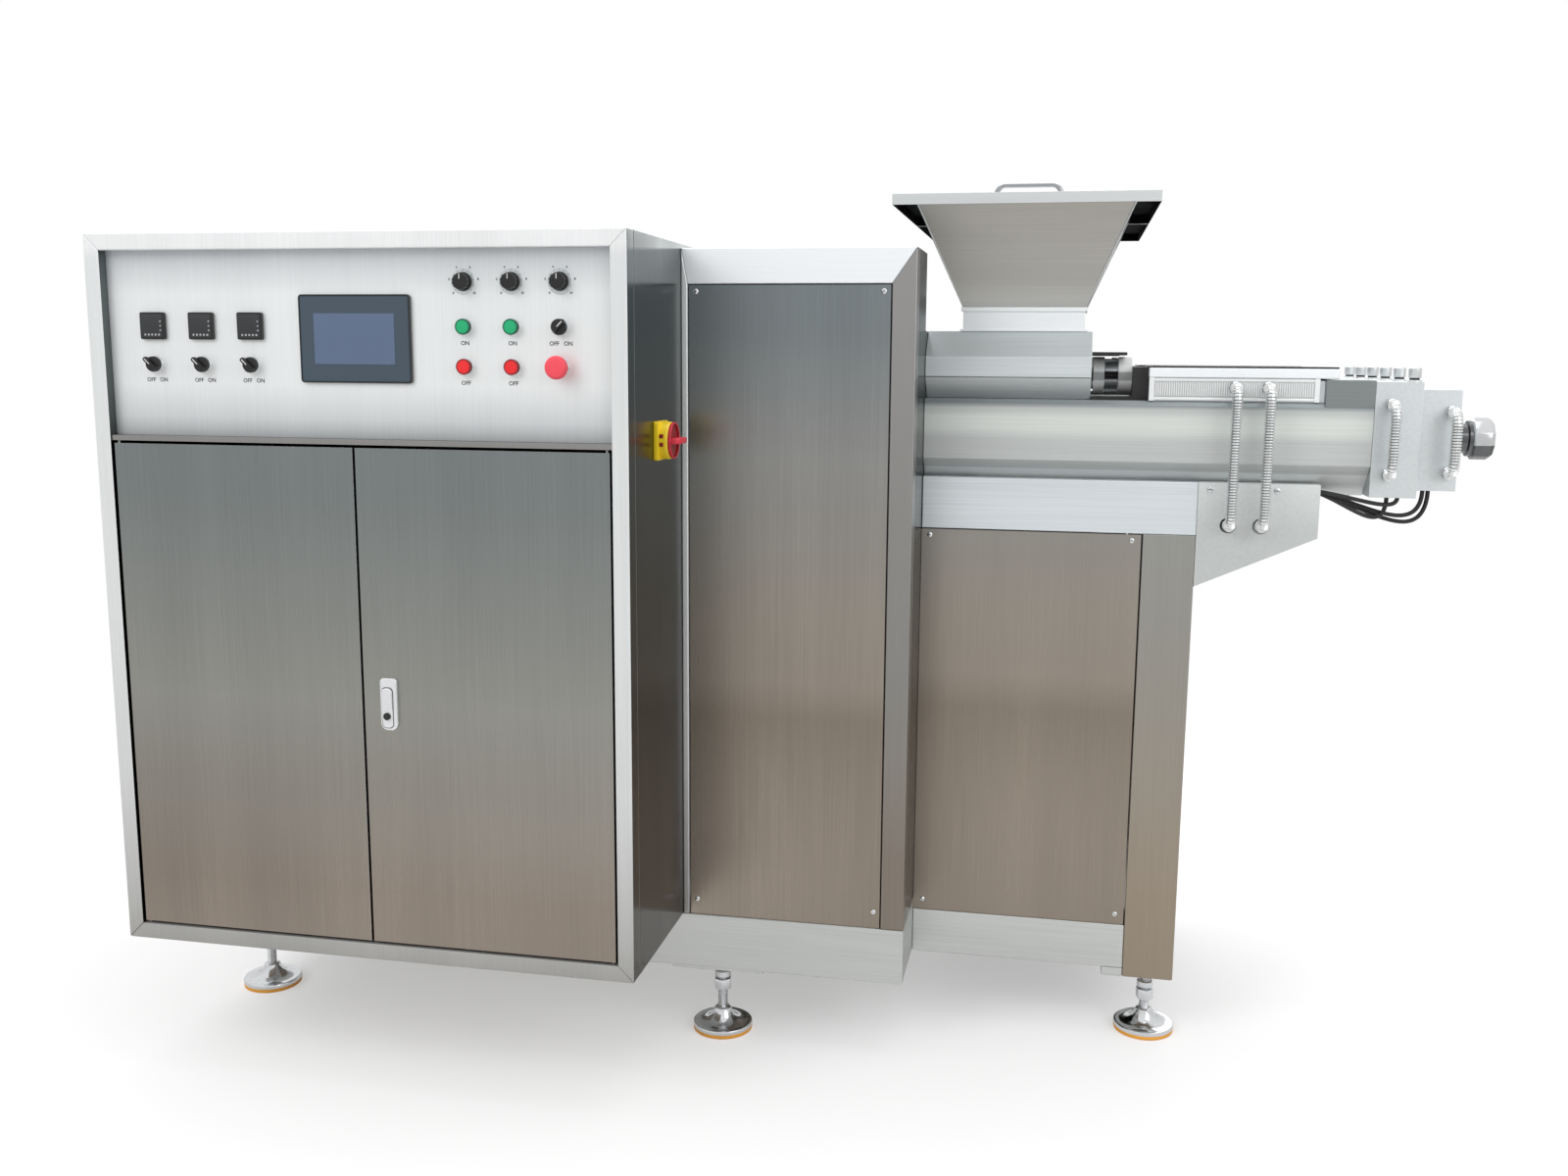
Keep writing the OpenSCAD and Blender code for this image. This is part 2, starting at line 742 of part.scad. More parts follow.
module hopper(axis) {
  color("lightgray") placed() translate([hopper_mid, axis, 0]) difference() {
    union() {
      hopper_form(0, 0);
      translate([-neck_l / 2, -neck_w / 2, feed_top]) cube([neck_l, neck_w, neck_h]);
    }
    hopper_form(hopper_wall, 0.02);
    translate([-neck_l / 2 + hopper_wall, -neck_w / 2 + hopper_wall, feed_top - eps])
      cube([neck_l - 2 * hopper_wall, neck_w - 2 * hopper_wall, neck_h + 2 * eps]);
  }
}

module front_hopper() hopper(front_axis);
module rear_hopper() hopper(rear_axis);

// A folded lid with a bow handle
module lid(axis) {
  color("lightgray") placed() translate([hopper_mid, axis, 0]) {
    difference() {
      slab(-lid_l / 2, lid_l / 2, -lid_w / 2, lid_w / 2, lid_top - lid_edge, lid_top);
      slab(-lid_l / 2 + sheet, lid_l / 2 - sheet, -lid_w / 2 + sheet, lid_w / 2 - sheet,
        lid_top - lid_edge - eps, mouth_z);
    }
    bow();
  }
}

// A lid's handle: two legs, two bends and the bar between them
module bow() {
  half = grip_l / 2;
  top = lid_top + grip_h - grip_r;
  disc_x(0, top, -half + grip_bend, half - grip_bend, grip_r);
  for (side = [0, 1]) mirror([side, 0, 0]) {
    translate([half, 0, lid_top - eps]) cylinder(r = grip_r, h = top - grip_bend - lid_top + eps);
    translate([half - grip_bend, 0, top - grip_bend]) rotate([90, 0, 0]) rotate_extrude(angle = 90)
      translate([grip_bend, 0]) circle(r = grip_r);
  }
}

module front_lid() lid(front_axis);
module rear_lid() lid(rear_axis);

// Ring sectors of one coupling half, drawn out along x
module jaws(x0, x1, turn) {
  translate([x0, 0, barrel_top + shaft_h]) rotate([90, 0, 90]) linear_extrude(x1 - x0)
    for (a = [0, 120, 240]) rotate(a + turn) intersection() {
      difference() {
        circle(r = 0.9 * coupling_r);
        circle(r = 0.55 * coupling_r);
      }
      polygon([[0, 0], [2 * coupling_r, -0.75 * coupling_r], [2 * coupling_r, 0.75 * coupling_r]]);
    }
}

module couplings() {
  hub = 0.33 * coupling_l;
  color("silver") placed() both_axes() {
    disc_x(0, barrel_top + shaft_h, feed_end, bearing_x, shaft_r);
    disc_x(0, barrel_top + shaft_h, feed_end + 0.06 * coupling_l, feed_end + hub, coupling_r);
    disc_x(0, barrel_top + shaft_h, bearing_x - hub, bearing_x, coupling_r);
    jaws(feed_end + hub - eps, bearing_x - hub - 2 * control_play, 90);
    jaws(feed_end + hub + 2 * control_play, bearing_x - hub + eps, 30);
  }
}

module bearing_blocks() {
  z = barrel_top;
  color("black") placed() both_axes() {
    slab(bearing_x, case_x, -bearing_w / 2, bearing_w / 2, z, z + bearing_h);
    slab(feed_end, bearing_x + eps, -bearing_w / 2, bearing_w / 2, z, z + guard_t);
    slab(feed_end, feed_end + 0.85 * coupling_l, -bearing_w / 2, bearing_w / 2,
      z + guard_z, z + guard_z + guard_t);
  }
}

module transfer_cases() {
  h = barrel_w / 2 - case_inset;
  z = barrel_top;
  color("silver") placed() both_axes() {
    slab(case_x, case_x + case_l, -h, h, z, z + case_h);
    slab(case_x, case_x + case_l + case_cover_lap, -h - case_inset / 2, h + case_inset / 2,
      z + case_h, z + case_h + case_cover_t);
  }
}

// Section of an end block, which fills the barrel's upper chamfers
function end_outline() = let (
  h = barrel_w / 2,
  low = barrel_top - barrel_edge,
  high = barrel_top + end_block_h
) [
  [-h, low], [-h + barrel_edge, barrel_top], [h - barrel_edge, barrel_top], [h, low], [h, high], [-h, high]
];

module end_blocks() {
  color("silver") placed() both_axes() along_x(end_block_x, barrel_end, end_outline());
}

module die_manifold() {
  color("lightgray") placed()
    slab(barrel_end, head_x, stand_y, back_y, axis_z - manifold_h / 2, axis_z + manifold_h / 2);
}

module die_heads() {
  color("lightgray") placed() both_axes()
    slab(head_x, neck_x, -head_w / 2, head_w / 2, axis_z - head_h / 2, axis_z + head_h / 2);
}

module nozzles() {
  color("gainsboro") placed() both_axes() difference() {
    union() {
      disc_x(0, axis_z, neck_x, ring_x + eps, nozzle_neck_r);
      disc_x(0, axis_z, ring_x, tip_x, nozzle_r);
    }
    disc_x(0, axis_z, neck_x - eps, tip_x + eps, outlet_r);
  }
}

// Conduit columns and ends
conduit_pitch = 60;
conduit_tail = 20;
conduit_low_z = beam_top - 0.8 * bracket_end_h;
conduit_high_z = barrel_top + 0.58 * case_h;
conduit_cols = [stand_end + 58, stand_end + 58 + conduit_pitch];
loop_half = 0.3 * manifold_h;

// A conduit that leaves a wall, runs down in front of it and returns to a wall or through a hole
module conduit(x, y_top, y_low, z_top, z_low, through) {
  y_run = min(y_top, y_low) - conduit_reach;
  bend = conduit_bend;
  translate([x, 0, 0]) {
    disc_y(0, z_top, y_top - fitting_l, y_top, fitting_r);
    if (through == 0) disc_y(0, z_low, y_low - fitting_l, y_low, fitting_r);
    disc_y(0, z_top, y_run + bend, y_top - fitting_l + eps, conduit_r);
    disc_y(0, z_low, y_run + bend, y_low + through, conduit_r);
    translate([0, y_run, z_low + bend]) cylinder(r = conduit_r, h = z_top - z_low - 2 * bend);
    translate([0, y_run + bend, z_top - bend]) rotate([90, 0, -90]) rotate_extrude(angle = 90)
      translate([bend, 0]) circle(r = conduit_r);
    translate([0, y_run + bend, z_low + bend]) rotate([90, 0, -90]) rotate_extrude(angle = -90)
      translate([bend, 0]) circle(r = conduit_r);
  }
}

module conduits() {
  case_y = stand_y + case_inset;
  head_y = front_axis - head_w / 2;
  color("whitesmoke") placed() both_sides() {
    for (x = conduit_cols) conduit(x, case_y, stand_y, conduit_high_z, conduit_low_z, conduit_tail);
    conduit(barrel_end + 0.35 * manifold_l, stand_y, stand_y, axis_z + loop_half, axis_z - loop_half, 0);
    conduit(head_x + 0.76 * head_l, head_y, head_y, axis_z + 0.28 * head_h, axis_z - 0.32 * head_h, 0);
  }
}

// A round tube along a list of points that lie in one upright plane
module tube(points, r) {
  n = len(points);
  function along(i) = let (d = points[min(i + 1, n - 1)] - points[max(i - 1, 0)]) d / norm(d);
  function ring(i) = let (t = along(i), side = [0, 1, 0], up = cross(t, side))
    [for (k = [0 : lead_sides - 1]) let (a = 360 * k / lead_sides)
      points[i] + r * (cos(a) * side + sin(a) * up)];
  polyhedron(
    points = [for (i = [0 : n - 1]) each ring(i)],
    faces = concat(
      [[for (k = [0 : lead_sides - 1]) k]],
      [[for (k = [lead_sides - 1 : -1 : 0]) (n - 1) * lead_sides + k]],
      [for (i = [0 : n - 2], k = [0 : lead_sides - 1]) let (j = (k + 1) % lead_sides)
        [i * lead_sides + j, i * lead_sides + k, (i + 1) * lead_sides + k, (i + 1) * lead_sides + j]]
    )
  );
}

// A point of the smooth curve that leaves a for b and comes to d from c
function bent(a, b, c, d, s) =
  let (r = 1 - s) r * r * r * a + 3 * r * r * s * b + 3 * r * s * s * c + s * s * s * d;

// A lead leaves the bracket's notch, sags and rises into the underside of the manifold or of a die head
function lead_route(past, sag, y, to_head) = let (
  x0 = stand_end + bracket_l,
  x1 = (to_head ? head_x : barrel_end) + past,
  z0 = barrel_z + beam_lap / 2,
  z1 = axis_z - (to_head ? head_h : manifold_h) / 2,
  a = [x0 - lead_tail, y, z0],
  b = [x0 + 0.4 * (x1 - x0), y, z0 - 0.35 * sag],
  c = [x1, y, z1 - 2.2 * sag],
  d = [x1, y, z1]
) [for (i = [0 : lead_steps]) bent(a, b, c, d, i / lead_steps)];

module heater_leads() {
  color("black") placed() both_sides() for (row = lead_rows)
    tube(lead_route(row[0], row[1], stand_y + row[2], row[3]), lead_r);
}

base_frame();
levelling_feet();
foot_rubbers();
cabinet_front_frame();
cabinet_shell();
control_panel();
touch_screen();
temperature_controllers();
control_bezels();
left_door();
right_door();
door_lock();
main_switch_box();
main_switch_handle();
heat_selector_1();
heat_selector_2();
heat_selector_3();
joint_selector();
speed_knob_1();
speed_knob_2();
speed_knob_3();
start_button_1();
start_button_2();
stop_button_1();
stop_button_2();
emergency_stop();
tower_frame();
tower_panel();
tower_shell();
drive_housing();
drive_rear_cover();
stand_frame();
stand_panels();
bracket();
barrels();
feed_housings();
front_hopper();
rear_hopper();
front_lid();
rear_lid();
couplings();
bearing_blocks();
transfer_cases();
end_blocks();
die_manifold();
die_heads();
nozzles();
conduits();
heater_leads();
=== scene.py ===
"""Looks of a candy extruder with two barrels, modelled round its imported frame."""

import math

import bpy
from mathutils import Matrix, Vector


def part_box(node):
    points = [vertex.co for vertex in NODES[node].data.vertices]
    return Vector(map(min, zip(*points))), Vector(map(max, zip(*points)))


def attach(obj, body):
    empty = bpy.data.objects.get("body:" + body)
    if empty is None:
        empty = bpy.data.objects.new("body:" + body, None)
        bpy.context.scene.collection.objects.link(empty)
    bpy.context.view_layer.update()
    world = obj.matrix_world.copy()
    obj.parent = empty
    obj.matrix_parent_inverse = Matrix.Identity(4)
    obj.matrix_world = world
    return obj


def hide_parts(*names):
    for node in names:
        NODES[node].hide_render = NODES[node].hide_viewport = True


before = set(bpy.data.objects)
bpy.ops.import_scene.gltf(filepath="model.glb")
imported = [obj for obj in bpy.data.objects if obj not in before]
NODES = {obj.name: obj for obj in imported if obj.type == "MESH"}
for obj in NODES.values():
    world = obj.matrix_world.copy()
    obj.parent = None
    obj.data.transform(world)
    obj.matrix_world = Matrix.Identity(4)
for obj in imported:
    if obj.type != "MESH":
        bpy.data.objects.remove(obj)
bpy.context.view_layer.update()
MM = 0.001

# The cabinet's face, its left end and the floor: places below count from there, in millimetres
FACE_LOW, FACE_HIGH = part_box("cabinet_front_frame")
# The barrels' axes and the middle between them
AXES = (628, 1078)
MID_Y = (AXES[0] + AXES[1]) / 2
# A flat turn that brings the way up (+Z) round to each side
FACINGS = {
    "up": Matrix.Identity(4),
    "down": Matrix.Rotation(math.pi, 4, "X"),
    "front": Matrix.Rotation(math.pi / 2, 4, "X"),
    "rear": Matrix.Rotation(-math.pi / 2, 4, "X"),
    "right": Matrix.Rotation(math.pi / 2, 4, "Y"),
}


def spot(x, y, z):
    """A place on the machine in the frame's metres."""
    return Vector((FACE_LOW.x + x * MM, FACE_LOW.y + y * MM, z * MM))


# Camera

CAMERA_PLACE = (0.473, -2.96144, 1.3743)
CAMERA_TURNS = (-11.1448, -9.1529, 0.421)
# Focal length and width of the photograph in pixels, and the sensor's width
FOCAL, PHOTO_W = 1454.137, 1600
SENSOR_W = 36


def set_camera():
    """The camera of the photograph."""
    yaw, pitch, roll = (math.radians(turn) for turn in CAMERA_TURNS)
    bpy.ops.object.camera_add(location=CAMERA_PLACE)
    camera = bpy.context.object
    camera.name = "photo_camera"
    camera.matrix_world = (
        Matrix.Translation(camera.location)
        @ Matrix.Rotation(-yaw, 4, "Z")
        @ Matrix.Rotation(math.pi / 2 + pitch, 4, "X")
        @ Matrix.Rotation(roll, 4, "Z")
    )
    camera.data.sensor_width = SENSOR_W
    camera.data.lens = FOCAL / PHOTO_W * SENSOR_W
    bpy.context.scene.camera = camera


# Shaping by hand


def take(obj):
    """Makes obj the one selected and active object."""
    bpy.ops.object.select_all(action="DESELECT")
    obj.select_set(True)
    bpy.context.view_layer.objects.active = obj
    return obj


def settled():
    """Puts the active object's place into its mesh."""
    bpy.ops.object.transform_apply(location=True, rotation=True, scale=True)
    return bpy.context.object


def block(low, high):
    """A box between two corners in metres."""
    low, high = Vector(low), Vector(high)
    bpy.ops.object.select_all(action="DESELECT")
    bpy.ops.mesh.primitive_cube_add(size=1, location=(low + high) / 2, scale=high - low)
    return settled()


def small_block(low, high):
    """A box about its own origin, between two corners in millimetres."""
    return block(Vector(low) * MM, Vector(high) * MM)


def apply_all(obj):
    """Applies every modifier of obj in order."""
    take(obj)
    for modifier in list(obj.modifiers):
        bpy.ops.object.modifier_apply(modifier=modifier.name)
    return obj


def rounded(obj, width, segments=2, angle=28):
    """Rounds the edges that are sharper than an angle in degrees."""
    edges = obj.modifiers.new("edges", "BEVEL")
    edges.width = width
    edges.segments = segments
    edges.limit_method = "ANGLE"
    edges.angle_limit = math.radians(angle)
    return apply_all(obj)


def bar(x0, x1, y0, y1, z0, z1, edge=2.5):
    """A tube or plate between machine planes, with rounded edges."""
    return rounded(block(spot(x0, y0, z0), spot(x1, y1, z1)), edge * MM, 3)


def pick(obj, kind, test):
    """Opens obj for editing with only the vertices, edges or faces that pass a test selected."""
    take(obj)
    bpy.ops.object.mode_set(mode="EDIT")
    bpy.ops.mesh.select_mode(type=kind)
    bpy.ops.mesh.select_all(action="DESELECT")
    bpy.ops.object.mode_set(mode="OBJECT")
    parts = {"VERT": obj.data.vertices, "EDGE": obj.data.edges, "FACE": obj.data.polygons}[kind]
    for part in parts:
        part.select = test(part)
    bpy.ops.object.mode_set(mode="EDIT")


def close():
    """Leaves edit mode."""
    bpy.ops.object.mode_set(mode="OBJECT")


def shift(obj, test, step):
    """Moves the vertices whose place passes a test."""
    pick(obj, "VERT", lambda vertex: test(vertex.co))
    bpy.ops.transform.translate(value=step)
    close()
    return obj


def sink(obj, rim, depth):
    """Insets the face that looks straight up and pushes it in, in millimetres."""
    pick(obj, "FACE", lambda face: face.normal.z > 0.99)
    bpy.ops.mesh.inset(thickness=rim * MM, depth=0)
    bpy.ops.mesh.inset(thickness=0.3 * depth * MM, depth=-depth * MM)
    close()
    return obj


def round_uprights(obj, axis, radius, segments=5, test=None):
    """Rounds the edges of a box that run along one axis, or those of them that pass a test."""
    mesh = obj.data

    def along(edge):
        ends = [mesh.vertices[index].co for index in edge.vertices]
        run = ends[0] - ends[1]
        return abs(run[axis]) > 0.99 * run.length and (test is None or test((ends[0] + ends[1]) / 2))

    pick(obj, "EDGE", along)
    bpy.ops.mesh.bevel(offset=radius * MM, segments=segments, affect="EDGES")
    close()
    return obj


def lathed(profile, segments=32):
    """A solid of revolution about Z from its (radius, height) outline in millimetres."""
    radius, height = (value * MM for value in profile[0])
    bpy.ops.object.select_all(action="DESELECT")
    bpy.ops.mesh.primitive_circle_add(
        vertices=segments, radius=radius, location=(0, 0, height), fill_type="NGON")
    obj = settled()
    bpy.ops.object.mode_set(mode="EDIT")
    bpy.ops.mesh.select_all(action="SELECT")
    for next_radius, next_height in profile[1:]:
        rise = next_height * MM - height
        height += rise
        grow = next_radius * MM / radius
        radius = next_radius * MM
        bpy.ops.mesh.extrude_region_move(TRANSFORM_OT_translate={"value": (0, 0, rise)})
        bpy.ops.transform.resize(value=(grow, grow, 1), center_override=(0, 0, height))
    bpy.ops.mesh.select_all(action="SELECT")
    bpy.ops.mesh.normals_make_consistent(inside=False)
    close()
    return obj


def copy_of(obj):
    """A copy with its own mesh."""
    twin = obj.copy()
    twin.data = obj.data.copy()
    bpy.context.scene.collection.objects.link(twin)
    return twin


def put(obj, place, facing="up", turn=0):
    """Turns obj about its own axis, faces it a way and brings it to a place."""
    matrix = Matrix.Translation(place) @ FACINGS[facing] @ Matrix.Rotation(math.radians(turn), 4, "Z")
    obj.data.transform(matrix)
    return obj


def spread(master, places, facing="up", turn=0):
    """Copies of a master at several places; the master goes."""
    copies = [put(copy_of(master), place, facing, turn) for place in places]
    bpy.data.objects.remove(master)
    return copies


def joined(objects):
    """Several objects as one."""
    take(objects[0])
    for obj in objects:
        obj.select_set(True)
    if len(objects) > 1:
        bpy.ops.object.join()
    return bpy.context.object


def mirrored(obj):
    """obj with its twin on the rear side of the machine."""
    twin = copy_of(obj)
    middle = spot(0, MID_Y, 0).y
    twin.data.transform(Matrix.Translation((0, 2 * middle, 0)) @ Matrix.Diagonal((1, -1, 1, 1)))
    twin.data.flip_normals()
    return joined([obj, twin])


def softened(node, width, segments=2):
    """A copy of a CAD node's form with its hard edges rounded."""
    obj = bpy.data.objects.new(node + "_form", NODES[node].data.copy())
    bpy.context.scene.collection.objects.link(obj)
    take(obj)
    bpy.ops.mesh.customdata_custom_splitnormals_clear()
    bpy.ops.object.mode_set(mode="EDIT")
    bpy.ops.mesh.select_all(action="SELECT")
    bpy.ops.mesh.remove_doubles(threshold=1e-6)
    bpy.ops.mesh.dissolve_limited(angle_limit=math.radians(0.5))
    close()
    return rounded(obj, width * MM, segments)


def lettering(words, size, place):
    """Flat printed words on the control panel, as a mesh."""
    bpy.ops.object.select_all(action="DESELECT")
    bpy.ops.object.text_add()
    obj = bpy.context.object
    obj.data.body = words
    obj.data.size = size * MM
    obj.data.align_x = "CENTER"
    obj.data.align_y = "CENTER"
    obj.data.extrude = 0.1 * MM
    obj.data.offset = 0.22 * MM
    obj.data.resolution_u = 3
    bpy.ops.object.convert(target="MESH")
    return put(bpy.context.object, place, "front")


def fit(obj, name, finish, body="machine", stands_for=(), flat=False):
    """Names a finished piece, gives it its finish, and fastens it to its body."""
    obj.name = name
    obj.data.name = name
    if finish:
        obj.data.materials.clear()
        obj.data.materials.append(finish)
    take(obj)
    bpy.ops.object.shade_smooth_by_angle(angle=math.radians(32))
    if flat:
        even = obj.modifiers.new("even", "WEIGHTED_NORMAL")
        even.keep_sharp = True
        apply_all(obj)
    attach(obj, body)
    if stands_for:
        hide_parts(*stands_for)
    return obj


def off_axis(face):
    """A face's distance from the Z axis in millimetres."""
    return math.hypot(face.center.x, face.center.y) / MM


def dress(obj, finishes, chooser):
    """Gives each face of obj one of several finishes."""
    obj.data.materials.clear()
    for finish in finishes:
        obj.data.materials.append(finish)
    for face in obj.data.polygons:
        face.material_index = chooser(face)
    return obj


# Finishes


def tone(red, green, blue):
    """A colour as seen, 0 to 255, in the shader's own scale."""
    return tuple(
        part / 12.92 if part <= 0.04045 else ((part + 0.055) / 1.055) ** 2.4
        for part in (red / 255, green / 255, blue / 255)
    ) + (1,)


def shade(colour, share):
    """A colour made darker or lighter."""
    return tuple(min(1, part * share) for part in colour[:3]) + (1,)


def new_finish(name):
    """A material with its node tree and its shader."""
    finish = bpy.data.materials.new(name)
    finish.use_nodes = True
    return finish, finish.node_tree, finish.node_tree.nodes["Principled BSDF"]


def add(tree, kind, **settings):
    """A node with the given settings: sockets by name, other names as attributes."""
    node = tree.nodes.new(kind)
    for key, value in settings.items():
        name = key.replace("_", " ").title()
        if name in node.inputs:
            node.inputs[name].default_value = value
        else:
            setattr(node, key, value)
    return node


def noise(tree, scale, detail=3, stretch=(1, 1, 1)):
    """Noise on the piece's own coordinates, stretched along an axis."""
    coords = add(tree, "ShaderNodeTexCoord")
    mapping = add(tree, "ShaderNodeMapping", scale=stretch)
    texture = add(tree, "ShaderNodeTexNoise", scale=scale, detail=detail)
    tree.links.new(coords.outputs["Object"], mapping.inputs["Vector"])
    tree.links.new(mapping.outputs["Vector"], texture.inputs["Vector"])
    return texture.outputs["Fac"]


def ranged(tree, value, low, high):
    """A noise value brought into a range."""
    node = add(tree, "ShaderNodeMapRange", from_min=0.3, from_max=0.7, to_min=low, to_max=high)
    tree.links.new(value, node.inputs["Value"])
    return node.outputs["Result"]


def blended(tree, value, first, second):
    """A colour between two, by a noise value."""
    ramp = add(tree, "ShaderNodeValToRGB")
    ramp.color_ramp.elements[0].position = 0.3
    ramp.color_ramp.elements[0].color = first
    ramp.color_ramp.elements[1].position = 0.7
    ramp.color_ramp.elements[1].color = second
    tree.links.new(value, ramp.inputs["Fac"])
    return ramp.outputs["Color"]


def bumped(tree, shader, value, strength, distance=0.0004):
    """Fine relief from a noise value."""
    bump = add(tree, "ShaderNodeBump", strength=strength, distance=distance)
    tree.links.new(value, bump.inputs["Height"])
    tree.links.new(bump.outputs["Normal"], shader.inputs["Normal"])


UPRIGHT = (520, 520, 4)
LENGTHWISE = (4, 520, 520)
ALL_WAYS = (160, 160, 160)
# Soft smears that go with each direction of the brush
SMEARS = {UPRIGHT: (4, 4, 0.35), LENGTHWISE: (0.35, 5, 5), ALL_WAYS: (1, 1, 1)}
# Share of a turn that lays the highlight across the brush lines
ACROSS_LENGTHWISE = 0.25


def by_height(tree, painted_tones):
    """A colour that changes with height, from (millimetres, colour) pairs with the lowest first: painted
    reflections and shade by height.
    """
    low, high = painted_tones[0][0], painted_tones[-1][0]
    coords = add(tree, "ShaderNodeTexCoord")
    parts = add(tree, "ShaderNodeSeparateXYZ")
    height = add(tree, "ShaderNodeMapRange", from_min=low * MM, from_max=high * MM)
    ramp = add(tree, "ShaderNodeValToRGB")
    ramp.color_ramp.elements[0].color = painted_tones[0][1]
    ramp.color_ramp.elements[1].color = painted_tones[-1][1]
    for level, colour in painted_tones[1:-1]:
        ramp.color_ramp.elements.new((level - low) / (high - low)).color = colour
    tree.links.new(coords.outputs["Object"], parts.inputs["Vector"])
    tree.links.new(parts.outputs["Z"], height.inputs["Value"])
    tree.links.new(height.outputs["Result"], ramp.inputs["Fac"])
    return ramp.outputs["Color"]


def steel(name, colour, rough, stretch=ALL_WAYS, relief=0.05, patch=2.2, change=0.88, pull=0.0, metal=1.0):
    """Stainless steel: fine brush lines along one axis, soft smears in its tone and gloss.

    The colour is one tone, or (millimetres, tone) pairs from low to high that paint reflections and shade by
    height.
    """
    finish, tree, shader = new_finish(name)
    shader.inputs["Metallic"].default_value = metal
    shader.inputs["Anisotropic"].default_value = pull
    if stretch == LENGTHWISE:
        shader.inputs["Anisotropic Rotation"].default_value = ACROSS_LENGTHWISE
    lines = noise(tree, 1, 2, stretch)
    smears = noise(tree, patch, 4, SMEARS[stretch])
    both = add(tree, "ShaderNodeMath", operation="ADD")
    tree.links.new(lines, both.inputs[0])
    tree.links.new(smears, both.inputs[1])
    mean = add(tree, "ShaderNodeMath", operation="MULTIPLY")
    mean.inputs[1].default_value = 0.5
    tree.links.new(both.outputs["Value"], mean.inputs[0])
    toned = add(tree, "ShaderNodeMixRGB", blend_type="MULTIPLY")
    toned.inputs["Fac"].default_value = 1
    if isinstance(colour[0], tuple):
        tree.links.new(by_height(tree, colour), toned.inputs["Color1"])
    else:
        toned.inputs["Color1"].default_value = colour
    tree.links.new(blended(tree, mean.outputs["Value"], (1, 1, 1, 1), (change, change, change, 1)),
                   toned.inputs["Color2"])
    tree.links.new(toned.outputs["Color"], shader.inputs["Base Color"])
    gloss = ranged(tree, mean.outputs["Value"], rough - 0.05, rough + 0.07)
    tree.links.new(gloss, shader.inputs["Roughness"])
    bumped(tree, shader, lines, relief)
    return finish


def plastic(name, colour, rough=0.4, grain=900, relief=0.08, coat=0.0, change=0.84):
    """Moulded plastic, rubber or paint with a fine grain."""
    finish, tree, shader = new_finish(name)
    shader.inputs["Coat Weight"].default_value = coat
    patches = noise(tree, 14, 3)
    grains = noise(tree, grain, 2)
    tree.links.new(blended(tree, patches, colour, shade(colour, change)), shader.inputs["Base Color"])
    tree.links.new(ranged(tree, patches, rough - 0.06, rough + 0.08), shader.inputs["Roughness"])
    bumped(tree, shader, grains, relief, 0.0002)
    return finish


# Heights in millimetres and the steel's tone at each, from low to high; these tones paint reflections and
# shade onto the steel by height
# Doors: painted reflection, warm and darker at the bottom, lightest at middle height, cooler and darker at
# the top
DOOR_PAINTED_REFLECTIONS = ((400, tone(147, 137, 127)), (750, tone(168, 168, 162)), (1130, tone(142, 149, 149)))
# Covers: painted reflection, warm and darker low down, cooler and darker at the top
COVER_PAINTED_REFLECTIONS = (
    (300, tone(150, 140, 129)), (680, tone(150, 140, 128)), (750, tone(167, 158, 147)),
    (870, tone(171, 163, 153)), (1180, tone(165, 165, 163)), (1430, tone(140, 148, 151)),
)
# Sides: painted shade, dark all over and darkest at middle height
SIDE_PAINTED_SHADE = ((400, tone(94, 88, 84)), (950, tone(74, 76, 72)), (1500, tone(103, 110, 111)))
# Frame: painted shade and highlight, darker at the lower rail and brightest at the top rail
FRAME_PAINTED_SHADE = (
    (262, tone(166, 165, 162)), (330, tone(184, 184, 182)), (600, tone(222, 224, 224)),
    (900, tone(234, 237, 237)), (1540, tone(238, 241, 242)), (1562, tone(250, 252, 253)),
)
# Stiles: painted reflection, warmer and darker at the bottom
STILE_PAINTED_REFLECTIONS = ((400, tone(139, 130, 121)), (800, tone(152, 151, 148)), (1500, tone(166, 165, 164)))
# Posts: painted reflection, warmer and darker at the bottom
POST_PAINTED_REFLECTIONS = ((300, tone(158, 146, 130)), (1000, tone(166, 166, 162)))
# Control plate: painted shade along its bottom edge and under the frame at its top
PANEL_PAINTED_SHADE = (
    (1228, tone(176, 180, 182)), (1262, tone(216, 220, 222)), (1322, tone(243, 246, 247)),
    (1480, tone(243, 246, 247)), (1552, tone(206, 210, 214)),
)
# Barrels: painted reflection bands, the lower facet lightened against its shade, darker towards the top edge
BARREL_PAINTED_REFLECTIONS = (
    (1122, tone(244, 247, 247)), (1162, tone(244, 247, 247)), (1166, tone(204, 208, 207)),
    (1222, tone(200, 204, 203)), (1240, tone(222, 227, 223)), (1264, tone(224, 229, 225)),
    (1283, tone(196, 201, 200)), (1289, tone(150, 157, 159)),
)
# Feed casings: painted light, the lower facet lightened against the shade it lies in
FEED_PAINTED_LIGHT = (
    (1299, tone(238, 243, 245)), (1340, tone(238, 243, 245)), (1343, tone(218, 226, 228)),
    (1430, tone(230, 237, 239)),
)
# Coupling hubs: a grey band of painted reflection at the shaft's height, with white above and below
HUB_PAINTED_REFLECTION = (
    (1312, tone(236, 238, 238)), (1334, tone(252, 253, 253)), (1338, tone(168, 171, 172)),
    (1351, tone(168, 171, 172)), (1355, tone(252, 253, 253)), (1380, tone(252, 253, 253)),
)
# Bracket trough: painted shade, darker towards the bottom
TROUGH_PAINTED_SHADE = ((1000, tone(202, 206, 205)), (1060, tone(208, 212, 211)), (1145, tone(228, 232, 232)))
# Hopper walls: painted reflection, lighter near the neck and darker higher up
HOPPER_PAINTED_REFLECTIONS = ((1478, tone(192, 192, 188)), (1530, tone(178, 176, 170)), (1660, tone(174, 171, 165)))

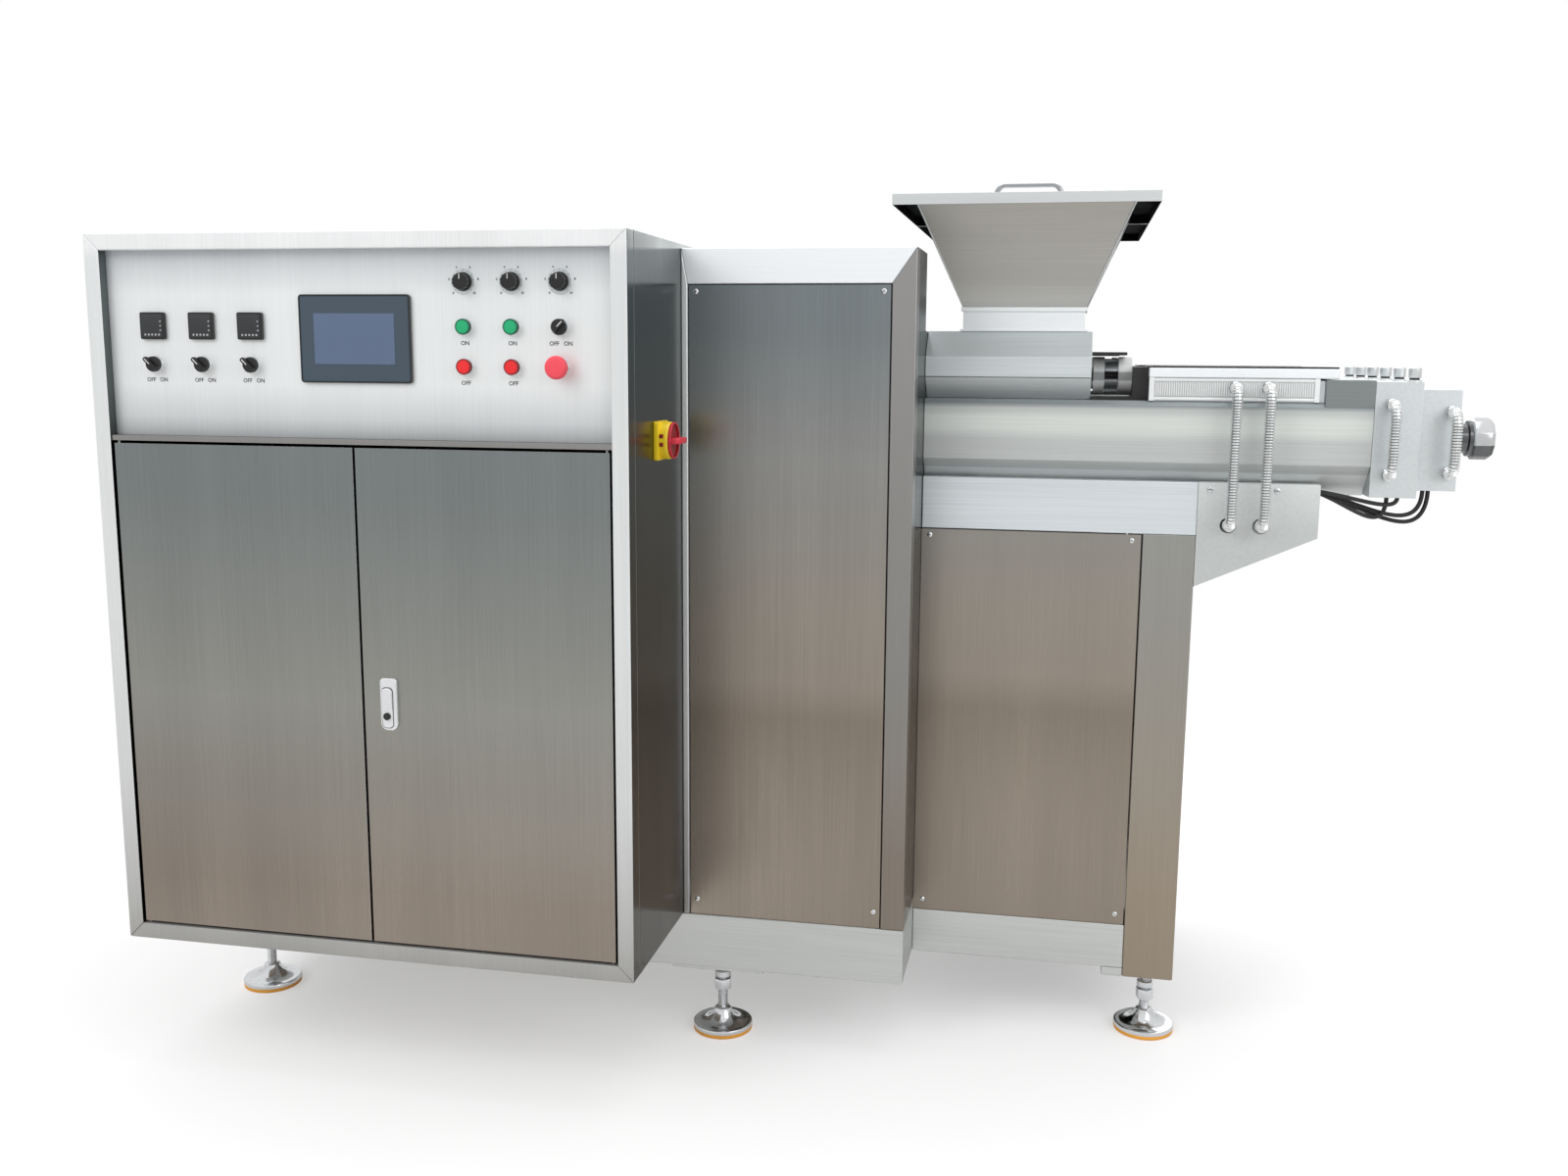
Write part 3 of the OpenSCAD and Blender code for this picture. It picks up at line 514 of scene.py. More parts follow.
DOOR = steel("brushed_door_sheet", DOOR_PAINTED_REFLECTIONS, 0.3, UPRIGHT, change=0.84, pull=0.6)
COVER = steel("brushed_cover_sheet", COVER_PAINTED_REFLECTIONS, 0.3, UPRIGHT, change=0.84, pull=0.6)
# A darker copy of the sheet steel for the sides: painted shade
SHADED_SIDE = steel("polished_side_painted_shade", SIDE_PAINTED_SHADE, 0.2, UPRIGHT, 0.03, change=0.8, pull=0.75)
FRAME = steel("bright_frame", FRAME_PAINTED_SHADE, 0.48, UPRIGHT, 0.04, change=0.88, metal=0.6)
STILE = steel("brushed_stile", STILE_PAINTED_REFLECTIONS, 0.36, UPRIGHT)
TUBE = steel("brushed_tube", tone(206, 208, 206), 0.42, LENGTHWISE, change=0.84)
BEAM = steel("bright_beam", tone(232, 238, 242), 0.46, LENGTHWISE, change=0.84)
POST = steel("brushed_post", POST_PAINTED_REFLECTIONS, 0.4, UPRIGHT)
PANEL = steel("bright_panel", PANEL_PAINTED_SHADE, 0.5, UPRIGHT, 0.03, change=0.93, metal=0.6)
BARREL = steel("ground_barrel", BARREL_PAINTED_REFLECTIONS, 0.46, LENGTHWISE, 0.06, change=0.86, metal=0.5)
FEED = steel("feed_casing_sheet", FEED_PAINTED_LIGHT, 0.46, LENGTHWISE, 0.05, change=0.78, metal=0.45)
DARK_STEEL = steel("dark_steel", tone(142, 148, 148), 0.4, LENGTHWISE, 0.06)
BLOCK = steel("machined_block", tone(218, 223, 225), 0.44, ALL_WAYS, 0.08, 7)
BOLT = steel("bolt_steel", tone(226, 229, 230), 0.34, ALL_WAYS, 0.05, 20, metal=0.7)
HUB = steel("turned_hub", HUB_PAINTED_REFLECTION, 0.4, ALL_WAYS, 0.05, 9, metal=0.0)
CASE = steel("ribbed_case", tone(244, 247, 248), 0.46, ALL_WAYS, 0.05, 20, 0.9, metal=0.5)
LOCK = steel("lock_plating", tone(230, 232, 234), 0.3, ALL_WAYS, 0.03, 20, 0.94, metal=0.5)
TROUGH = steel("trough_sheet", TROUGH_PAINTED_SHADE, 0.46, ALL_WAYS, 0.06, 5, metal=0.6)
HOPPER = steel("hopper_sheet", HOPPER_PAINTED_REFLECTIONS, 0.42, LENGTHWISE, 0.04)
NECK = steel("bright_neck", tone(248, 252, 255), 0.5, LENGTHWISE, 0.04, change=0.93, metal=0.3)
LID = steel("lid_sheet", tone(222, 225, 226), 0.46, LENGTHWISE, 0.04, change=0.9)
GRIP = steel("lid_grip", tone(172, 174, 176), 0.3, ALL_WAYS, 0.04)
CHROME = steel("chromed_steel", tone(220, 222, 224), 0.12, ALL_WAYS, 0.02, 20)
DARK_CHROME = steel("shaded_chrome", tone(104, 105, 107), 0.16, ALL_WAYS, 0.02, 20)
WELD = steel("weld_bead", tone(214, 216, 217), 0.34, ALL_WAYS, 0.3, 60)
CONDUIT = steel("conduit_metal", tone(240, 242, 242), 0.22, ALL_WAYS, 0.04, 20, metal=0.85)
CONDUIT_SHADE = steel("conduit_shade", tone(116, 120, 122), 0.34, ALL_WAYS, 0.04, 20)
BLACK = plastic("black_plastic", tone(22, 22, 23), 0.35)
# Blackened iron, also used as painted black shade in gaps and hollows
BLACK_IRON_AND_SHADE = plastic("blackened_iron_and_painted_shade", tone(34, 34, 35), 0.45, 500, 0.15)
# The lid's underside: dark green painted shade and reflection, with hardly a highlight
LID_UNDERSIDE_SHADE = plastic("lid_underside_painted_shade", tone(14, 18, 15), 0.8, 300, 0.15)
UNDERSIDE_SHINE = 0.05
LID_UNDERSIDE_SHADE.node_tree.nodes["Principled BSDF"].inputs["Specular IOR Level"].default_value = UNDERSIDE_SHINE
SLATE = plastic("slate_film", tone(62, 76, 88), 0.34, 700, 0.03, 0.0, 0.96)
SLATE_EDGE = plastic("slate_edge", tone(28, 33, 37), 0.36)
GLASS = plastic("display_glass", tone(86, 104, 132), 0.14, 300, 0.01, 0.3, 0.95)
WINDOW = plastic("controller_window", tone(28, 31, 36), 0.16, 300, 0.01, 0.5)
KEY = plastic("controller_key", tone(178, 182, 186), 0.4)
WHITE = plastic("white_mark", tone(236, 236, 234), 0.4)
# Printed ink, also used as the painted shade of screw slots
INK_AND_SLOT_SHADE = plastic("printed_ink_and_slot_shade", tone(52, 54, 58), 0.5)
GREEN = plastic("green_lens", tone(14, 172, 112), 0.22, 400, 0.03, 0.3, 0.92)
GREEN_RIM = plastic("green_rim", tone(12, 98, 72), 0.3)
RED = plastic("red_lens", tone(236, 30, 34), 0.22, 400, 0.03, 0.3, 0.92)
RED_RIM = plastic("red_rim", tone(142, 24, 32), 0.3)
MUSHROOM = plastic("mushroom_red", tone(244, 82, 96), 0.36, 500, 0.05, 0.0, 0.92)
GRIP_RED = plastic("grip_red", tone(228, 52, 72), 0.34, 500, 0.05)
DISH_RED = plastic("dish_red", tone(150, 14, 20), 0.4, 500, 0.05)
YELLOW = plastic("switch_yellow", tone(250, 216, 30), 0.4, 500, 0.06, 0.0, 0.9)
AMBER = plastic("amber_rubber", tone(240, 168, 62), 0.55, 300, 0.15)
LEAD = plastic("lead_rubber", tone(32, 32, 34), 0.5, 400, 0.1)


# Cords

# Each lead: end, sag, distance behind the stand's face, height of the underside it ends in
LEAD_ROWS = ((2355, 16, 14, 1124.5), (2338, 40, 24, 1124.5), (2403, 46, 34, 1138.5), (2415, 58, 44, 1138.5))
LEAD_R = 4
LEAD_STEPS = 16
LEAD_TAIL = 20
# How a lead leaves the bracket and comes up to its end: shares of its length and of its sag
LEAD_REACH, LEAD_DIP, LEAD_RISE = 0.4, 0.35, 2.2
LEAD_START = (2215, 518, 1133.5)


def lead_route(end, sag, back, top, rear):
    """A heater lead's points from the bracket's notch to the underside that it ends in."""
    x0, y0, z0 = LEAD_START
    y = y0 + back
    if rear:
        y = 2 * MID_Y - y
    a = spot(x0 - LEAD_TAIL, y, z0)
    b = spot(x0 + LEAD_REACH * (end - x0), y, z0 - LEAD_DIP * sag)
    c = spot(end, y, top - LEAD_RISE * sag)
    d = spot(end, y, top)
    points = []
    for step in range(LEAD_STEPS + 1):
        s = step / LEAD_STEPS
        r = 1 - s
        points.append(r ** 3 * a + 3 * r * r * s * b + 3 * r * s * s * c + s ** 3 * d)
    return points


def curve_along(name, points, kind="BEZIER"):
    """A curve of one open spline through some points."""
    data = bpy.data.curves.new(name, "CURVE")
    data.dimensions = "3D"
    spline = data.splines.new(kind)
    knots = spline.bezier_points if kind == "BEZIER" else spline.points
    knots.add(len(points) - 1)
    for knot, point in zip(knots, points):
        knot.co = point if kind == "BEZIER" else (*point, 1)
        if kind == "BEZIER":
            knot.handle_left_type = "AUTO"
            knot.handle_right_type = "AUTO"
    obj = bpy.data.objects.new(name, data)
    bpy.context.scene.collection.objects.link(obj)
    return obj


def heater_leads():
    """Eight black leads that sag under the manifold."""
    for rear in (False, True):
        for number, row in enumerate(LEAD_ROWS, 1):
            points = lead_route(*row, rear)
            name = f"{'rear' if rear else 'front'}_lead_{number}"
            lead = curve_along(name, points)
            lead.data.bevel_depth = LEAD_R * MM
            lead.data.bevel_resolution = 3
            lead.data.resolution_u = 6
            lead.data.use_fill_caps = True
            lead.data.materials.append(LEAD)
            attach(lead, "machine")
            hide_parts("heater_leads")


# Conduits

CONDUIT_R = 10.4
CONDUIT_PITCH = 5.2
RIB_FOOT = 8.3
CONDUIT_REACH = 44
CONDUIT_BEND = 24
FITTING_R = 13
FITTING_L = 14
ARC_STEPS = 8
STAND_Y = 518
CASE_Y = 526
HEAD_Y = 528
TAIL_Y = 538
# Each conduit: x, upper wall, lower wall, upper height, lower height, end behind the lower wall
CONDUIT_RUNS = (
    (2050, CASE_Y, STAND_Y, 1325.1, 1063.4, TAIL_Y),
    (2110, CASE_Y, STAND_Y, 1325.1, 1063.4, TAIL_Y),
    (2330.4, STAND_Y, STAND_Y, 1296.8, 1167.2, None),
    (2438.2, HEAD_Y, HEAD_Y, 1284.6, 1171.8, None),
)


def conduit_path(x, y_top, y_low, z_top, z_low, tail):
    """A conduit's points: out of the wall, down in front of it and back."""
    y_run = min(y_top, y_low) - CONDUIT_REACH
    bend = CONDUIT_BEND
    points = [(x, y_top - FITTING_L / 2, z_top)]
    for step in range(ARC_STEPS + 1):
        a = math.pi / 2 * step / ARC_STEPS
        points.append((x, y_run + bend - bend * math.sin(a), z_top - bend + bend * math.cos(a)))
    for step in range(ARC_STEPS + 1):
        a = math.pi / 2 * step / ARC_STEPS
        points.append((x, y_run + bend - bend * math.cos(a), z_low + bend - bend * math.sin(a)))
    points.append((x, tail or y_low - FITTING_L / 2, z_low))
    return [spot(*point) for point in points]


def corrugated(points):
    """A ribbed metal hose along some points."""
    ribs = ((0.76, 0), (1.0, 0.24), (1.0, 0.62), (0.76, 0.86))
    bpy.ops.object.select_all(action="DESELECT")
    bpy.ops.mesh.primitive_circle_add(vertices=16, radius=CONDUIT_R * ribs[0][0] * MM, fill_type="NOTHING")
    rib = bpy.context.object
    bpy.ops.object.mode_set(mode="EDIT")
    bpy.ops.mesh.select_all(action="SELECT")
    for (size, height), (next_size, next_height) in zip(ribs, ribs[1:] + ((ribs[0][0], 1),)):
        bpy.ops.mesh.extrude_region_move(
            TRANSFORM_OT_translate={"value": (0, 0, (next_height - height) * CONDUIT_PITCH * MM)})
        bpy.ops.transform.resize(value=(next_size / size, next_size / size, 1))
    bpy.ops.mesh.select_all(action="SELECT")
    bpy.ops.mesh.normals_make_consistent(inside=False)
    close()
    dress(rib, (CONDUIT, CONDUIT_SHADE), lambda face: int(off_axis(face) < RIB_FOOT))
    length = sum((b - a).length for a, b in zip(points, points[1:]))
    path = curve_along("conduit_path", points, "POLY")
    row = rib.modifiers.new("row", "ARRAY")
    row.count = round(length / (CONDUIT_PITCH * MM))
    row.relative_offset_displace = (0, 0, 1)
    row.use_merge_vertices = True
    row.merge_threshold = 1e-5
    bend = rib.modifiers.new("bend", "CURVE")
    bend.object = path
    bend.deform_axis = "POS_Z"
    apply_all(rib)
    bpy.ops.object.mode_set(mode="EDIT")
    bpy.ops.mesh.select_all(action="SELECT")
    bpy.ops.mesh.fill_holes(sides=0)
    bpy.ops.mesh.normals_make_consistent(inside=False)
    close()
    bpy.data.objects.remove(path)
    return rib


def fitting():
    """A hose fitting: hexagon and sleeve, standing on its wall."""
    nut = lathed([(FITTING_R, 0), (FITTING_R, 0.6 * FITTING_L)], 6)
    rounded(nut, 0.8 * MM, 2)
    sleeve = lathed([(11, 0.55 * FITTING_L), (12, 0.62 * FITTING_L), (12, 0.9 * FITTING_L),
                     (10.8, FITTING_L), (10.2, FITTING_L), (10.2, 0.8 * FITTING_L)], 20)
    return joined([nut, sleeve])


def conduits():
    """Ribbed conduits with their fittings on both sides of the machine."""
    hoses = []
    fittings = []
    for run in CONDUIT_RUNS:
        hoses.append(corrugated(conduit_path(*run)))
        x, y_top, y_low, z_top, z_low, tail = run
        fittings.append(put(fitting(), spot(x, y_top, z_top), "front", 30))
        if tail is None:
            fittings.append(put(fitting(), spot(x, y_low, z_low), "front", 30))
    fit(mirrored(joined(hoses)), "conduit_hoses", None, stands_for=("conduits",))
    fit(mirrored(joined(fittings)), "conduit_fittings", CHROME, stands_for=("conduits",))


# Frames and covers

CAB_W = 1014
FRAME_W = 30
FRAME_D = 40
RAIL_LOW, RAIL_HIGH = 1218, 1228
DOOR_RECESS = 4
# The doors' hinge pins: distance in from each end, distance behind the face, lower end, length
PIN_IN, PIN_Y, PIN_LOW, PIN_L = 41, 10, 292, 19
# Widths of the tower's left and right stiles, and of its lower and upper rails
TOWER_WIDTHS = (12, 46, 0, 66)
TUBE_EDGE = 2.2
BACK_Y = 1188
STAND_X, STAND_END = 1461, 1992
POST_X, POST_W, POST_LOW = 1892, 100, 130
POST_ROWS = (518, 1088)
BASE_ROWS = (340, 1088)
BASE_CROSS = (0, 914, 1361)
BASE_LOW, BASE_HIGH = 150, 262
FOOT_COLUMNS = (58, 1084)
PLATE_HALF, PLATE_END = 95, 3
LOW_RAIL_LOW, LOW_RAIL_HIGH, LOW_RAIL_STEP = 148, 240, 1850
BEAM_LOW, BEAM_HIGH, BEAM_T = 1042, 1145, 30
CROSS_BEAM_HIGH = 1122


def mitred_ring(low, high, widths):
    """Four tubes round an upright rectangle, mitred where they meet: stiles, then rails."""
    left, right, lower, upper = (width * MM for width in widths)
    x0, y0, z0 = low
    x1, y1, z1 = high
    middle = (z0 + z1) / 2
    stiles = []
    for x_low, x_high, inner in ((x0, x0 + left, 1), (x1 - right, x1, -1)):
        stile = block((x_low, y0, z0), (x_high, y1, z1))
        halfway = (x_low + x_high) / 2
        shift(stile, lambda co: (co.x - halfway) * inner > 0 and co.z > middle, (0, 0, -upper))
        shift(stile, lambda co: (co.x - halfway) * inner > 0 and co.z < middle, (0, 0, lower))
        stiles.append(rounded(stile, TUBE_EDGE * MM, 3))
    rails = []
    for width, base, sign in ((lower, z0, 1), (upper, z1, -1)):
        if not width:
            continue
        rail = block((x0, y0, min(base, base + sign * width)), (x1, y1, max(base, base + sign * width)))
        inside = base + sign * width / 2
        shift(rail, lambda co: (co.z - inside) * sign > 0 and co.x < (x0 + x1) / 2, (left, 0, 0))
        shift(rail, lambda co: (co.z - inside) * sign > 0 and co.x > (x0 + x1) / 2, (-right, 0, 0))
        rails.append(rounded(rail, TUBE_EDGE * MM, 3))
    return stiles, rails


def cabinet_frame():
    """The cabinet's mitred front frame, its rail and the doors' hinge pins."""
    stiles, rails = mitred_ring(FACE_LOW, FACE_HIGH, (FRAME_W,) * 4)
    inner = [bar(FRAME_W, CAB_W - FRAME_W, DOOR_RECESS, FRAME_D, RAIL_LOW, RAIL_HIGH, 1)]
    pin = lathed([(2.4, 0), (3, 0.6), (3, PIN_L - 0.6), (2.4, PIN_L)], 16)
    columns, levels = (PIN_IN, CAB_W - PIN_IN), (PIN_LOW, RAIL_LOW - PIN_L)
    inner += spread(pin, [spot(x, PIN_Y, z) for x in columns for z in levels])
    node = ("cabinet_front_frame",)
    # The frame's side faces take the darker side steel as painted shade
    ring = dress(joined(stiles + rails), (FRAME, SHADED_SIDE), lambda face: int(abs(face.normal.x) > 0.8))
    fit(ring, "cabinet_frame_ring", None, stands_for=node, flat=True)
    # The rail under the panel and the hinge pins take the darker stile steel, a painted shade line under the
    # panel
    fit(joined(inner), "cabinet_cross_rail", STILE, stands_for=node, flat=True)


def tower_frame():
    """The tower's top rail and stiles with mitred corners."""
    (left, right), rails = mitred_ring(*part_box("tower_frame"), TOWER_WIDTHS)
    # One steel in three tones: painted highlight on the left stile and top rail, painted shade on the right
    # stile
    for part, name, finish in ((left, "tower_left_stile", FRAME), (right, "tower_right_stile", STILE),
                               (rails[0], "tower_top_rail", NECK)):
        fit(part, name, finish, stands_for=("tower_frame",), flat=True)


def base_frame():
    """The base's welded tubes, and the plates over its feet."""
    front, rear = BASE_ROWS
    tubes = [bar(0, STAND_X, y, y + POST_W, BASE_LOW, BASE_HIGH) for y in BASE_ROWS]
    tubes += [bar(x, x + POST_W, front + POST_W, rear, BASE_LOW, BASE_HIGH) for x in BASE_CROSS]
    plates = []
    for x in FOOT_COLUMNS:
        left, right = max(x - PLATE_HALF, PLATE_END), x + PLATE_HALF
        for y in BASE_ROWS:
            plates.append(bar(left, right, y + 1, y + POST_W - 1, BASE_LOW - 5, BASE_LOW + 1, 1))
    fit(joined(tubes), "base_tubes", TUBE, stands_for=("base_frame",), flat=True)
    fit(joined(plates), "base_foot_plates", TUBE, flat=True)


def stand_frame():
    """The stand's posts, lower rails with their deeper ends, beams and cross beams."""
    posts, rails, beams = [], [], []
    front, rear = POST_ROWS
    for y in POST_ROWS:
        posts.append(bar(POST_X, STAND_END, y, y + POST_W, POST_LOW, BEAM_LOW))
        rails.append(bar(STAND_X, POST_X, y, y + POST_W, LOW_RAIL_LOW, LOW_RAIL_HIGH))
        rails.append(bar(LOW_RAIL_STEP, POST_X, y, y + POST_W, POST_LOW, LOW_RAIL_LOW))
    rails.append(bar(POST_X, STAND_END, front + POST_W, rear, LOW_RAIL_LOW, LOW_RAIL_HIGH))
    for y in (front, BACK_Y - BEAM_T):
        beams.append(bar(STAND_X, STAND_END, y, y + BEAM_T, BEAM_LOW, BEAM_HIGH))
    for x in (STAND_X, POST_X):
        beams.append(bar(x, x + POST_W, front + BEAM_T, BACK_Y - BEAM_T, BEAM_LOW, CROSS_BEAM_HIGH))
    for bars, name, finish in ((posts, "stand_posts", POST), (rails, "stand_rails", TUBE),
                               (beams, "stand_beams", BEAM)):
        fit(joined(bars), name, finish, stands_for=("stand_frame",), flat=True)


def soft_node(node, name, finish, width=1.2, body="machine", segments=2):
    """A CAD node's own form with softened edges and a finish."""
    return fit(softened(node, width, segments), name, finish, body, (node,), True)


COUPLING_Z = 1346
JAWS_X = (1808.5, 1834.5)
# Half the height of the black band of painted shade between the jaws
JAWS_GAP = 10


def coupling_part(face):
    """Bright hubs, and between them grey jaws with a black band of painted shade in the gap."""
    x = (face.center.x - FACE_LOW.x) / MM
    if not JAWS_X[0] < x < JAWS_X[1]:
        return 0
    return 2 if abs(face.center.z / MM - COUPLING_Z) < JAWS_GAP else 1


def covers():
    """Sheets, housings and blocks that keep the CAD form with softened edges."""
    for node, name, edge in (("cabinet_shell", "cabinet_casing", 1.5), ("tower_shell", "tower_casing", 1.5),
                             ("drive_housing", "drive_casing", 2)):
        # The casings' right-facing faces take the darker side steel as painted shade
        casing = dress(softened(node, edge), (COVER, SHADED_SIDE), lambda face: int(face.normal.x > 0.5))
        fit(casing, name, None, "machine", (node,), True)
    for node in ("left_door", "right_door"):
        # The doors' bevelled front edges take the bright steel as a painted highlight
        sheet = dress(softened(node, 1.8, 3), (DOOR, NECK), lambda face: int(-0.96 < face.normal.y < -0.3))
        fit(sheet, node + "_sheet", None, node, (node,), True)
    soft_node("control_panel", "control_plate", PANEL, 0.6)
    soft_node("tower_panel", "tower_cover", COVER, 1)
    soft_node("drive_rear_cover", "drive_back_cover", COVER, 1)
    soft_node("stand_panels", "stand_covers", COVER, 1)
    soft_node("bracket", "bracket_trough", TROUGH, 1.2)
    soft_node("barrels", "barrel_jackets", BARREL, 1.6, segments=3)
    soft_node("feed_housings", "feed_casings", FEED, 2, segments=3)
    halves = dress(softened("couplings", 0.6), (HUB, BLOCK, BLACK_IRON_AND_SHADE), coupling_part)
    fit(halves, "coupling_halves", None, "machine", ("couplings",), True)
    soft_node("bearing_blocks", "bearing_housings", BLACK_IRON_AND_SHADE, 1)
    soft_node("end_blocks", "end_clamps", DARK_STEEL, 1)
    soft_node("die_manifold", "manifold_block", BLOCK, 1.2)
    soft_node("die_heads", "die_head_blocks", BLOCK, 1.2)


def screw(radius=5, height=2.6):
    """A pan-head screw whose slot is a dark bar of painted shade, standing on its plate."""
    head = lathed([(radius, 0), (radius, 0.5 * height), (0.82 * radius, 0.85 * height),
                   (0.5 * radius, height)], 16)
    slot = small_block((-0.62 * radius, -0.1 * radius, 0.9 * height),
                       (0.62 * radius, 0.1 * radius, 1.04 * height))
    dress(head, (CHROME, INK_AND_SLOT_SHADE), lambda face: 0)
    dress(slot, (CHROME, INK_AND_SLOT_SHADE), lambda face: 1)
    return joined([head, slot])


# Faces of the tower's and the stand's covers, and the places of their screws as x and z
TOWER_COVER_Y, STAND_COVER_Y = 343, 521
TOWER_SCREWS = ((1042, 1498), (1400, 1498), (1042, 294), (1400, 296))
STAND_SCREWS = ((1478, 1028), (1872, 1028), (1480, 262), (1872, 262))
BRACKET_SCREWS = ((2014, 1132), (2137, 1132))
BACK_SCREWS = tuple((x, z) for x in (1072, 1238, 1403) for z in (322, 846, 1370))


def cover_screws():
    """Screws in the corners of the bolted covers."""
    front = spread(screw(), [spot(x, TOWER_COVER_Y, z) for x, z in TOWER_SCREWS], "front", 35)
    sides = spread(screw(), [spot(x, STAND_COVER_Y, z) for x, z in STAND_SCREWS], "front", -20)
    sides += spread(screw(6, 3), [spot(x, STAND_Y, z) for x, z in BRACKET_SCREWS], "front", 10)
    back = spread(screw(), [spot(x, BACK_Y, z) for x, z in BACK_SCREWS], "rear", 25)
    fit(joined(front + [mirrored(joined(sides))] + back), "cover_screws", None)


# Barrels, hoppers and dies

BARREL_TOP = 1299
HOPPER_X = 1648
NECK_LOW, NECK_HIGH, MOUTH_Z = 1430, 1474, 1676
NECK_HALF = (118.5, 59)
MOUTH_HALF = (206, 185)
LID_TOP = 1679
LID_HALF = (244.5, 220)


def collar(axis, grow, z0, z1):
    """A flat band round a hopper's neck."""
    (half_x, half_y), x = NECK_HALF, HOPPER_X
    bands = []
    for y in (axis - half_y, axis + half_y):
        bands.append(bar(x - half_x - grow, x + half_x + grow, y - grow, y + grow, z0, z1, 0.8))
    for end in (x - half_x, x + half_x):
        bands.append(bar(end - grow, end + grow, axis - half_y, axis + half_y, z0, z1, 0.8))
    return bands


def weld_bead(start, end, width=1.6):
    """A straight bead of weld between two points."""
    bead = curve_along("bead", [start, start.lerp(end, 0.5), end], "POLY")
    bead.data.bevel_depth = width * MM
    bead.data.bevel_resolution = 2
    bead.data.use_fill_caps = True
    take(bead)
    bpy.ops.object.convert(target="MESH")
    return bpy.context.object


def hoppers():
    """Hopper shells with bright necks, bands and welded corners, and their lids."""
    for axis, side in zip(AXES, ("front", "rear")):
        shell = softened(side + "_hopper", 0.8)
        dress(shell, (HOPPER, NECK), lambda face: int(face.center.z < (NECK_HIGH - 1) * MM))
        fit(shell, side + "_hopper_walls", None, stands_for=(side + "_hopper",), flat=True)
        bands = collar(axis, 4, NECK_HIGH - 5, NECK_HIGH + 3) + collar(axis, 5, NECK_LOW, NECK_LOW + 4)
        fit(joined(bands), side + "_neck_bands", NECK, flat=True)
        beads = []
        for sx in (-1, 1):
            for sy in (-1, 1):
                low = spot(HOPPER_X + sx * NECK_HALF[0], axis + sy * NECK_HALF[1], NECK_HIGH + 3)
                high = spot(HOPPER_X + sx * MOUTH_HALF[0], axis + sy * MOUTH_HALF[1], MOUTH_Z - 1)
                beads.append(weld_bead(low, high))
        fit(joined(beads), side + "_hopper_welds", WELD)
        lid = softened(side + "_lid", 1, 2)
        middle = spot(HOPPER_X, axis, LID_TOP)

        def lid_part(face):
            away = face.center - middle
            if away.z > 0.5 * MM:
                return 2
            inner = abs(away.x) < (LID_HALF[0] - 2) * MM and abs(away.y) < (LID_HALF[1] - 2) * MM
            # Inside the rim, the underside faces take the dark painted shade
            return int(inner and away.z < -1 * MM and face.normal.z < 0.5)

        dress(lid, (LID, LID_UNDERSIDE_SHADE, GRIP), lid_part)
        fit(lid, side + "_lid_sheet", None, side + "_lid", (side + "_lid",), True)


CASE_X, CASE_END, COVER_END = 1891, 2203, 2237
CASE_TOP, COVER_TOP = 1344, 1362
RIB_PITCH = 4.2
RIB_COUNT = 69
RIB_START, RIB_W, RIB_OUT = 12, 2.6, 2.4
RIB_LOW, RIB_HIGH = 1309, 1335
CASE_HALF, COVER_HALF, SHEET_HALF, END_HALF = 102, 106, 104, 98
CASE_EDGE = 10
CASE_LIPS = (1303.5, 1339.5)
END_TOP = 1340
SHEET_T = 3.5


def rib_row(face):
    """Fine upright ribs along a case's face."""
    x = CASE_X + RIB_START
    rib = block(spot(x, face - RIB_OUT, RIB_LOW), spot(x + RIB_W, face + RIB_OUT, RIB_HIGH))
    rounded(rib, 0.6 * MM, 1)
    row = rib.modifiers.new("row", "ARRAY")
    row.count = RIB_COUNT
    row.use_relative_offset = False
    row.use_constant_offset = True
    row.constant_offset_displace = (RIB_PITCH * MM, 0, 0)
    return apply_all(rib)


def transfer_cases():
    """Cases with ribbed faces between upright edges, an end plate, a plain cover and a black sheet on it."""
    cores, bodies, plates, sheets, ends = [], [], [], [], []
    for axis in AXES:
        front, rear = axis - CASE_HALF, axis + CASE_HALF
        cores.append(bar(CASE_X, CASE_END, front, rear, BARREL_TOP, CASE_TOP, 1))
        for face in (front, rear):
            for x in (CASE_X, CASE_END - CASE_EDGE):
                bodies.append(bar(x, x + CASE_EDGE, face - 3, face + 3, BARREL_TOP, CASE_TOP, 1.2))
            for z in CASE_LIPS:
                bodies.append(bar(CASE_X + 9, CASE_END - 9, face - 2.2, face + 2.2, z - 3, z + 3, 2))
            bodies.append(rib_row(face))
        ends.append(bar(CASE_END, CASE_END + 10, axis - END_HALF, axis + END_HALF, BARREL_TOP, END_TOP, 0.8))
        plates.append(bar(CASE_X, COVER_END, axis - COVER_HALF, axis + COVER_HALF, CASE_TOP, COVER_TOP, 1.4))
        sheets.append(bar(CASE_X, COVER_END - 2, axis - SHEET_HALF, axis + SHEET_HALF,
                          COVER_TOP, COVER_TOP + SHEET_T, 0.8))
    node = ("transfer_cases",)
    for parts, index in ((cores, 1), (bodies, 0)):
        for part in parts:
            dress(part, (CASE, TUBE), lambda face: index)
    fit(joined(cores + bodies), "transfer_boxes", None, stands_for=node, flat=True)
    fit(joined(plates), "transfer_covers", NECK, stands_for=node, flat=True)
    fit(joined(sheets), "transfer_sheets", BLACK_IRON_AND_SHADE, flat=True)
    fit(joined(ends), "transfer_end_plates", NECK, flat=True)


FEED_END, FEED_HALF = 1781, 110
SEAM_LOW, SEAM_HIGH = 1340.4, 1342
# The row of bolts across the manifold: place of the first, distance to the next, and how many
BOLT_START = (2370, 535, 1340)
BOLT_PITCH = 127.2
BOLT_COUNT = 6
NOZZLE_X, NOZZLE_Z = 2455, 1232


